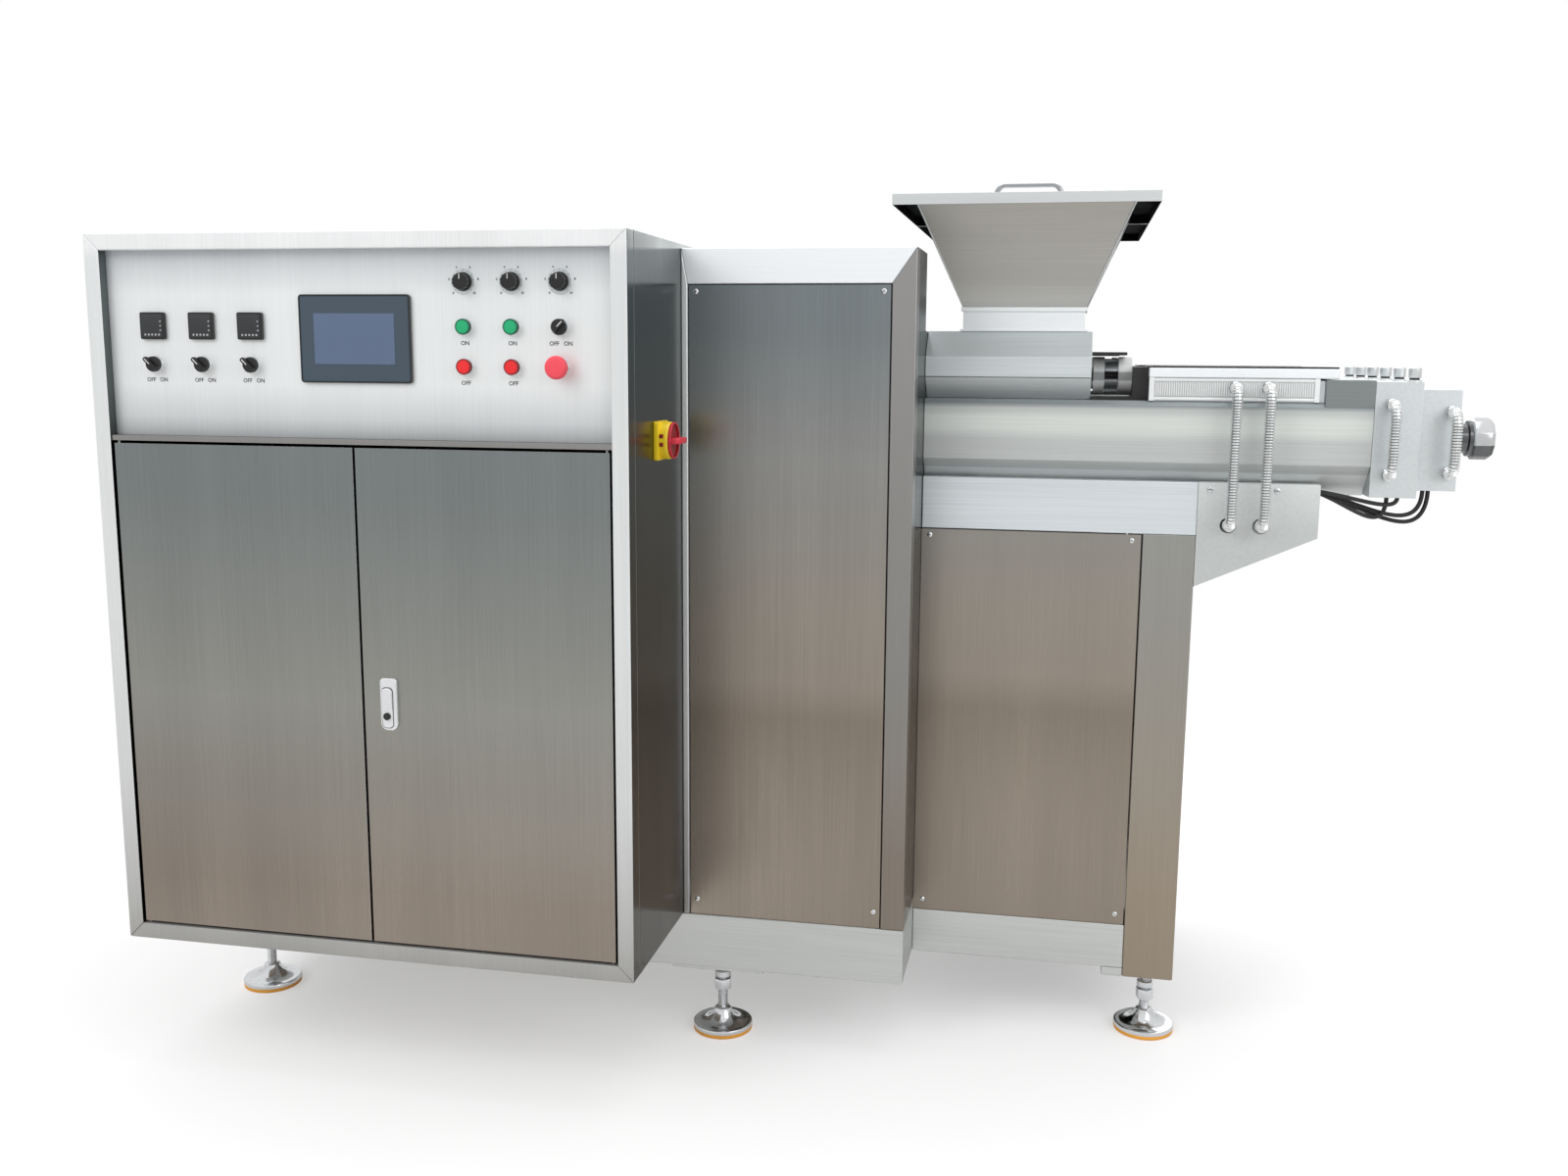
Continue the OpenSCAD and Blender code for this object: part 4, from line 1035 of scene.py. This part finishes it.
def barrel_trim():
    """The folded seams along the feed casings, and the row of bolts on the manifold."""
    seams = [bar(STAND_X + 1, FEED_END, y - 0.7, y + 0.7, SEAM_LOW, SEAM_HIGH, 0.4)
             for axis in AXES for y in (axis - FEED_HALF, axis + FEED_HALF)]
    fit(joined(seams), "feed_seams", DARK_CHROME)
    cap = lathed([(13, 0), (13, 2.4), (12.4, 3), (9, 3), (9, 7), (11, 7), (11.6, 8), (11.6, 24.4),
                  (10.8, 25.4), (6.4, 25.4), (6.2, 25), (6.2, 17)], 24)

    # Black as painted shade inside the hollow top and round the narrow neck under the head
    def dark(face):
        return off_axis(face) < 6.3 or 2.9 * MM < face.center.z < 7.1 * MM

    dress(cap, (BOLT, BLACK_IRON_AND_SHADE), lambda face: int(dark(face)))
    x, y, z = BOLT_START
    bolts = joined(spread(cap, [spot(x, y + row * BOLT_PITCH, z) for row in range(BOLT_COUNT)]))
    fit(bolts, "manifold_bolts", None)


def nozzles():
    """Nozzles: a stepped neck in darker chrome as painted shade, and a faceted polished ring with its
    outlet.
    """
    neck = lathed([(34, 0), (34, 6), (30, 9), (28, 12), (28, 34), (34, 36), (34, 42.5), (20, 42.5)], 40)
    ring = lathed([(36, 42), (40, 45.5), (40, 73), (35.5, 80), (18, 80), (16, 78), (16, 12)], 10)
    rounded(ring, 0.8 * MM, 2)
    places = [spot(NOZZLE_X, axis, NOZZLE_Z) for axis in AXES]
    necks = joined(spread(neck, places, "right"))
    fit(necks, "nozzle_necks", DARK_CHROME, stands_for=("nozzles",))
    rings = joined(spread(ring, places, "right", 18))
    # Downward facets take the darker chrome as a painted dark reflection of the floor
    dress(rings, (CHROME, DARK_CHROME), lambda face: int(face.normal.z < -0.15))
    fit(rings, "nozzle_rings", None, stands_for=("nozzles",))


# Feet

# Each foot's place on the floor and the underside that it carries
FEET = tuple((x, y, BASE_LOW) for y in (390, 1138) for x in FOOT_COLUMNS)
FEET += tuple((1942, y, POST_LOW) for y in (568, 1138))
THREAD_PITCH = 3.0
SPINDLE_LOW = 46
# How far the nut and the disc stand under what the foot carries
NUT_DROP, DISC_DROP = 63, 37


def threaded(low, high):
    """A threaded spindle between two heights."""
    profile = [(9.2, low)]
    for turn in range(int((high - low) / THREAD_PITCH)):
        z = low + turn * THREAD_PITCH
        profile += [(9.2, z + 0.5), (10, z + 1.4), (10, z + 1.9), (9.2, z + 2.8)]
    return lathed(profile + [(9.2, high)], 16)


def feet():
    """Levelling feet: amber rubber, dished pad, threaded spindle and nuts."""
    rubber = lathed([(58, 0), (60, 1), (60.6, 3), (60.6, 6.4), (60, 8), (30, 8)], 56)
    pad = lathed([(56, 7), (60.4, 8.4), (61, 10), (61, 14.5), (60, 16.5), (58, 17.2), (54, 16.4), (41, 18),
                  (30, 23), (22, 32), (18, 41), (16.5, 45), (13, 47.5), (9, 47.5)], 56)
    nut = rounded(lathed([(18.6, 0), (18.6, 22)], 6), 1.6 * MM, 2)
    disc = lathed([(15, 0), (16.4, 1.4), (16.4, 12), (14, 14)], 24)
    floor_places = [spot(x, y, 0) for x, y, top in FEET]
    rubbers = joined(spread(rubber, floor_places))
    fit(rubbers, "foot_rubber_rings", AMBER, stands_for=("foot_rubbers",))
    parts = spread(pad, floor_places)
    parts += spread(nut, [spot(x, y, top - NUT_DROP) for x, y, top in FEET], turn=12)
    parts += spread(disc, [spot(x, y, top - DISC_DROP) for x, y, top in FEET])
    for x, y, top in FEET:
        parts.append(put(threaded(SPINDLE_LOW, top), spot(x, y, 0)))
    fit(joined(parts), "foot_sets", CHROME, stands_for=("levelling_feet",))


# Control panel

PANEL_Y = 20
HEAT_COLUMNS = (120, 216, 312)
RUN_COLUMNS = (716, 803, 890)
TOP_ROW, HIGH_ROW, LOW_ROW = 1500, 1424, 1356
BEZEL_TOP = 6.4
SCREEN_X, SCREEN_Z = 513, 1402.5
DISPLAY_X = 512


def on_panel(x, z):
    """A place on the control panel's face."""
    return spot(x, PANEL_Y, z)


def touch_screen():
    """A slate housing with a black edge, a film front and a display."""
    housing = small_block((-105, -76.5, 0), (105, 76.5, 7))
    round_uprights(housing, 2, 6)
    rounded(housing, 0.9 * MM, 2, 60)
    sink(housing, 2, 0.8)
    dress(housing, (SLATE_EDGE, SLATE), lambda face: int(face.normal.z > 0.9 and face.center.z < 6.6 * MM))
    put(housing, on_panel(SCREEN_X, SCREEN_Z), "front")
    fit(housing, "screen_housing", None, stands_for=("touch_screen",), flat=True)
    display = round_uprights(small_block((-76, -44, 5.8), (76, 44, 6.7)), 2, 1.2, 3)
    put(rounded(display, 0.25 * MM, 2), on_panel(DISPLAY_X, SCREEN_Z), "front")
    fit(display, "screen_display", GLASS, stands_for=("touch_screen",), flat=True)


def controllers():
    """Temperature controllers: a rounded bezel, a dark window, five keys and three marks."""
    case = rounded(round_uprights(small_block((-24, -24, 0), (24, 24, 7.4)), 2, 3.2), 0.8 * MM, 2, 60)
    window = round_uprights(small_block((-20.6, -20.6, 7), (20.6, 20.6, 7.8)), 2, 1.6, 3)
    rounded(window, 0.25 * MM, 2, 60)
    marks = [small_block((x - 1.7, -17.4, 7.6), (x + 1.7, -14.2, 8.1)) for x in (-13.6, -6.8, 0, 6.8, 13.6)]
    marks += [small_block((15.4, y - 1, 7.6), (18.4, y + 1, 8)) for y in (8, 0, -8)]
    for part, index in [(case, 0), (window, 1)] + [(rounded(mark, 0.12 * MM, 2), 2) for mark in marks]:
        dress(part, (BLACK, WINDOW, KEY), lambda face: index)
    places = [on_panel(x, HIGH_ROW) for x in HEAT_COLUMNS]
    units = joined(spread(joined([case, window] + marks), places, "front"))
    fit(units, "controller_units", None, stands_for=("temperature_controllers",))


def bezels():
    """Chromed rings of the round controls, and the dials of the speed knobs."""
    plain = lathed([(15, 0), (15, 4.2), (14.4, 5.4), (13.2, 6), (12.4, 6), (12.2, 5.6)], 40)
    selectors = [on_panel(x, LOW_ROW) for x in HEAT_COLUMNS] + [on_panel(RUN_COLUMNS[2], HIGH_ROW)]
    rings = spread(plain, selectors, "front")
    open_ring = lathed([(15, 0), (15, 3), (14.6, 3.7), (14, 4), (11.9, 4), (11.5, 3.6), (11.5, 0.4)], 40)
    buttons = [on_panel(x, z) for x in RUN_COLUMNS[:2] for z in (HIGH_ROW, LOW_ROW)]
    rings += spread(open_ring, buttons, "front")
    stem_ring = lathed([(15, 0), (15, 4.2), (14.2, 5.6), (13, 6), (8.9, 6), (8.5, 5.6), (8.5, 0.4)], 40)
    rings += spread(stem_ring, [on_panel(RUN_COLUMNS[2], LOW_ROW)], "front")
    fit(joined(rings), "control_rings", CHROME, stands_for=("control_bezels",))
    dial = lathed([(22, 0), (22, 1.3), (21.4, 1.9), (20.6, 2), (17, 2)], 48)
    dials = joined(spread(dial, [on_panel(x, TOP_ROW) for x in RUN_COLUMNS], "front"))
    fit(dials, "knob_dials", BLOCK, stands_for=("control_bezels",))


def selector(node, x, z, turn):
    """A selector knob with a finger bar and a white line."""
    body = lathed([(13.8, BEZEL_TOP), (13.8, 12.4), (13, 13.8), (11.4, 14.4)], 40)
    finger = small_block((-4, -13, 13.4), (4, 16, 22.4))
    round_uprights(finger, 2, 2.6, 4, lambda co: co.y > 0)
    shift(finger, lambda co: co.z > 20 * MM and co.y < -10 * MM, (0, 0.004, 0))
    rounded(finger, 0.7 * MM, 2)
    line = rounded(small_block((-0.8, 0.5, 22.1), (0.8, 13, 22.6)), 0.15 * MM, 2)
    for part, index in ((body, 0), (finger, 0), (line, 1)):
        dress(part, (BLACK, WHITE), lambda face: index)
    knob = put(joined([body, finger, line]), on_panel(x, z), "front", turn)
    fit(knob, node + "_knob", None, node, (node,))


KNOB_SIDES = 48


def speed_knob(node, x):
    """A fluted knob on a skirt, with a white pointer."""
    skirt = lathed([(16, 2.4), (16, 4.6), (15.4, 5.6), (14, 6)], KNOB_SIDES)
    grip = lathed([(13.4, 5.6), (14, 6.4), (14, 17.6), (13.2, 18.8), (11.6, 19.2), (8, 19.2)], KNOB_SIDES)
    step = 2 * math.pi / KNOB_SIDES

    def valley(co):
        index = round(math.atan2(co.y, co.x) / step)
        return index % 4 == 0 and math.hypot(co.x, co.y) > 12.8 * MM

    pick(grip, "VERT", lambda vertex: valley(vertex.co))
    bpy.ops.transform.resize(value=(0.93, 0.93, 1), center_override=(0, 0, 0))
    close()
    pointer = rounded(small_block((-0.7, 4, 18.9), (0.7, 12.4, 19.4)), 0.15 * MM, 2)
    for part, index in ((skirt, 0), (grip, 0), (pointer, 1)):
        dress(part, (BLACK, WHITE), lambda face: index)
    knob = put(joined([skirt, grip, pointer]), on_panel(x, TOP_ROW), "front")
    fit(knob, node + "_grip", None, node, (node,))


def push_button(node, x, z, lens, rim):
    """A push button with a darker rim round its lens."""
    cap = lathed([(11, 3.8), (11, 7.2), (13, 7.3), (13.6, 8), (13.6, 11), (13.1, 11.8), (12.3, 12),
                  (11.5, 12), (11.1, 11.4), (6, 11.7)], 40)
    dress(cap, (rim, lens), lambda face: int(off_axis(face) < 11.2 and face.normal.z > 0.2))
    put(cap, on_panel(x, z), "front")
    fit(cap, node + "_cap", None, node, (node,))


def emergency_stop():
    """A mushroom head on its stem."""
    head = lathed([(7.9, 3.8), (7.9, 19.6), (15.4, 20), (18.4, 21), (19.8, 23), (20, 25), (20, 28.4),
                   (19.3, 30.6), (17.6, 32.4), (16.6, 32.6), (15.6, 33.4), (11, 33.9), (5, 34)], 48)
    put(head, on_panel(RUN_COLUMNS[2], LOW_ROW), "front")
    fit(head, "emergency_stop_head", MUSHROOM, "emergency_stop", ("emergency_stop",))


# Radius of the dial numbers, the turn between two ticks, and how far words stand under a control
DIAL_R = 27
DIAL_STEP = 27
WORD_DROP = 28


def printed_marks():
    """Dial numbers and ticks, and plain ON and OFF under the controls."""
    words = []
    for x in RUN_COLUMNS:
        for number in range(0, 11, 2):
            angle = math.radians(225 - DIAL_STEP * number)
            place = on_panel(x + DIAL_R * math.cos(angle), TOP_ROW + DIAL_R * math.sin(angle))
            words.append(lettering(str(number), 5.4, place))
        for tick in range(11):
            mark = rounded(small_block((-0.35, 18.4, 1.95), (0.35, 21, 2.1)), 0.03 * MM, 1)
            words.append(put(mark, on_panel(x, TOP_ROW), "front", 135 - DIAL_STEP * tick))
    for x in RUN_COLUMNS[:2]:
        words.append(lettering("ON", 10, on_panel(x, HIGH_ROW - WORD_DROP)))
        words.append(lettering("OFF", 10, on_panel(x, LOW_ROW - WORD_DROP)))
    for x, z in [(x, LOW_ROW) for x in HEAT_COLUMNS] + [(RUN_COLUMNS[2], HIGH_ROW)]:
        words.append(lettering("OFF   ON", 10, on_panel(x, z - WORD_DROP)))
    fit(joined(words), "printed_marks", INK_AND_SLOT_SHADE)


def panel_controls():
    """Every knob and button on the control panel."""
    touch_screen()
    controllers()
    bezels()
    for number, x in enumerate(HEAT_COLUMNS, 1):
        selector(f"heat_selector_{number}", x, LOW_ROW, 45)
    selector("joint_selector", RUN_COLUMNS[2], HIGH_ROW, -45)
    for number, x in enumerate(RUN_COLUMNS, 1):
        speed_knob(f"speed_knob_{number}", x)
    for number, x in enumerate(RUN_COLUMNS[:2], 1):
        push_button(f"start_button_{number}", x, HIGH_ROW, GREEN, GREEN_RIM)
        push_button(f"stop_button_{number}", x, LOW_ROW, RED, RED_RIM)
    emergency_stop()
    printed_marks()


# Door lock and main switch

LOCK_PLACE = (559.5, DOOR_RECESS, 753)
KEYHOLE = (-1.8 * MM, -21 * MM, 0)


def door_lock():
    """A tall rounded plate with a finger lever and a black keyhole."""
    plate = small_block((-16, -48, 0), (16, 48, 7))
    round_uprights(plate, 2, 13, 5, lambda co: co.y < 0)
    round_uprights(plate, 2, 7, 5, lambda co: co.y > 40 * MM)
    rounded(plate, 1.6 * MM, 3)
    groove = small_block((-13, -44, 6.6), (9.4, 32, 7.3))
    lever = small_block((-12, -43, 6), (8.2, 30.6, 12.4))
    for part in (groove, lever):
        round_uprights(part, 2, 8, 5)
    shift(lever, lambda co: co.z > 10 * MM and co.y < -30 * MM, (0, 0, -0.0036))
    rounded(lever, 1.4 * MM, 3)
    key = lathed([(6.6, 8), (6.6, 12.5), (6, 12.6), (5, 12.6), (4.6, 12)], 32)
    slit = small_block((-0.7, -3, 11.4), (0.7, 3, 12.4))
    # The groove round the lever is painted in darker chrome as its shade
    for part, index in ((plate, 0), (groove, 2), (lever, 0), (key, 1), (slit, 2)):
        dress(part, (LOCK, BLACK, DARK_CHROME), lambda face: index)
    put(key, KEYHOLE)
    put(slit, KEYHOLE, turn=25)
    lock = put(joined([plate, groove, lever, key, slit]), spot(*LOCK_PLACE), "front")
    fit(lock, "door_lock_set", None, "right_door", ("door_lock",))


SWITCH_PLACE = (CAB_W, 184, 1226)


def main_switch():
    """A yellow base and drum with a red dished handle."""
    base = round_uprights(small_block((-35, -35, 0), (35, 35, 8)), 2, 5)
    rounded(base, 1 * MM, 2)
    drum = lathed([(34, 7), (34, 20), (33.4, 23), (31.6, 25), (13.8, 25), (13.3, 24.4), (13.3, 12.4)], 56)
    windows = [rounded(small_block((x - 3.6, -34.4, 10.6), (x + 3.6, -30, 17.6)), 0.5 * MM, 2)
               for x in (-9, 6)]
    for part, index in [(base, 0), (drum, 0)] + [(window, 1) for window in windows]:
        dress(part, (YELLOW, DISH_RED), lambda face: index)
    box = put(joined([base, drum] + windows), spot(*SWITCH_PLACE), "right")
    fit(box, "switch_base", None, stands_for=("main_switch_box",))
    dish = lathed([(12.6, 13), (12.6, 25.4), (32.4, 25.4), (33, 26.4), (33, 29.4), (32.2, 30.4), (31, 30.4),
                   (30.2, 29.6), (29.4, 27), (6, 26.6)], 56)
    grip = small_block((-5.2, -29, 26), (5.2, 29, 47.6))
    round_uprights(grip, 0, 13, 5, lambda co: co.z > 40 * MM)
    rounded(grip, 1.8 * MM, 3)
    dress(dish, (GRIP_RED, DISH_RED), lambda face: int(off_axis(face) < 30))
    dress(grip, (GRIP_RED, DISH_RED), lambda face: 0)
    handle = put(joined([dish, grip]), spot(*SWITCH_PLACE), "right")
    fit(handle, "switch_handle", None, "main_switch_handle", ("main_switch_handle",))


# Stage

# Each lamp: name, place, size and power
LAMPS = (
    ("key_lamp", (-2.4, -3.4, 3.6), 2.4, 95),
    ("fill_lamp", (3.2, -2.6, 2.6), 2.6, 40),
    ("top_lamp", (0.2, 0.6, 4.2), 3.4, 70),
    ("back_lamp", (0.4, 3.4, 2.8), 2.6, 40),
)
LAMP_AIM = Vector((0.1, -0.1, 0.8))
# Tones of the room from the floor up to the ceiling, as shares of the way up
ROOM_TINTS = (
    (0.44, tone(150, 145, 138)), (0.5, tone(158, 157, 154)), (0.6, tone(196, 197, 198)),
    (0.75, tone(240, 241, 242)),
)
# How much of the white surround shows in a reflection
GLOSS_WHITE = 0.65
# The floor's size, where it fades out, and how much of it shows at its middle
FLOOR_R = 4.5
FADE_START, FADE_END = 1.7, 3.2
FLOOR_SHOWN = 0.6


def set_floor():
    """A pale floor that fades into white."""
    bpy.ops.object.select_all(action="DESELECT")
    bpy.ops.mesh.primitive_circle_add(vertices=96, radius=FLOOR_R, location=(0, 0, 0), fill_type="NGON")
    floor = bpy.context.object
    floor.name = "floor"
    finish, tree, shader = new_finish("pale_floor")
    shader.inputs["Base Color"].default_value = (0.9, 0.9, 0.9, 1)
    shader.inputs["Roughness"].default_value = 0.9
    coords = add(tree, "ShaderNodeTexCoord")
    away = add(tree, "ShaderNodeVectorMath", operation="LENGTH")
    fade = add(tree, "ShaderNodeMapRange", from_min=FADE_START, from_max=FADE_END,
               to_min=FLOOR_SHOWN, to_max=0)
    fade.interpolation_type = "SMOOTHSTEP"
    tree.links.new(coords.outputs["Object"], away.inputs[0])
    tree.links.new(away.outputs["Value"], fade.inputs["Value"])
    tree.links.new(fade.outputs["Result"], shader.inputs["Alpha"])
    floor.data.materials.append(finish)


def set_lamps():
    """Soft lamps round the machine; the key lamp stays out of reflections."""
    for name, place, size, power in LAMPS:
        bpy.ops.object.light_add(type="AREA", location=place)
        lamp = bpy.context.object
        lamp.name = name
        lamp.data.size = size
        lamp.data.energy = power
        lamp.visible_glossy = name != "key_lamp"
        aim = LAMP_AIM - Vector(place)
        lamp.rotation_euler = aim.to_track_quat("-Z", "Y").to_euler()


def set_surround():
    """A white surround that lights the machine as a room with a darker floor would."""
    world = bpy.data.worlds.new("surround")
    bpy.context.scene.world = world
    world.use_nodes = True
    tree = world.node_tree
    back = tree.nodes["Background"]
    coords = add(tree, "ShaderNodeTexCoord")
    parts = add(tree, "ShaderNodeSeparateXYZ")
    height = add(tree, "ShaderNodeMapRange", from_min=-1, from_max=1)
    room = add(tree, "ShaderNodeValToRGB")
    ramp = room.color_ramp
    ramp.elements[0].position = 0.0
    ramp.elements[0].color = tone(150, 146, 140)
    ramp.elements[1].position = 1.0
    ramp.elements[1].color = (1, 1, 1, 1)
    for position, colour in ROOM_TINTS:
        ramp.elements.new(position).color = colour
    path = add(tree, "ShaderNodeLightPath")
    gloss = add(tree, "ShaderNodeMath", operation="MULTIPLY")
    gloss.inputs[1].default_value = GLOSS_WHITE
    seen = add(tree, "ShaderNodeMath", operation="MAXIMUM")
    shown = add(tree, "ShaderNodeMath", operation="MAXIMUM")
    mix = add(tree, "ShaderNodeMixRGB")
    mix.inputs["Color2"].default_value = (1, 1, 1, 1)
    tree.links.new(coords.outputs["Generated"], parts.inputs["Vector"])
    tree.links.new(parts.outputs["Z"], height.inputs["Value"])
    tree.links.new(height.outputs["Result"], room.inputs["Fac"])
    tree.links.new(path.outputs["Is Camera Ray"], seen.inputs[0])
    tree.links.new(path.outputs["Is Transmission Ray"], seen.inputs[1])
    tree.links.new(path.outputs["Is Glossy Ray"], gloss.inputs[0])
    tree.links.new(seen.outputs["Value"], shown.inputs[0])
    tree.links.new(gloss.outputs["Value"], shown.inputs[1])
    tree.links.new(shown.outputs["Value"], mix.inputs["Fac"])
    tree.links.new(room.outputs["Color"], mix.inputs["Color1"])
    tree.links.new(mix.outputs["Color"], back.inputs["Color"])
    bpy.context.scene.view_settings.view_transform = "Standard"


set_camera()
heater_leads()
conduits()
cabinet_frame()
tower_frame()
base_frame()
stand_frame()
covers()
cover_screws()
hoppers()
transfer_cases()
barrel_trim()
nozzles()
feet()
panel_controls()
door_lock()
main_switch()
set_floor()
set_lamps()
set_surround()
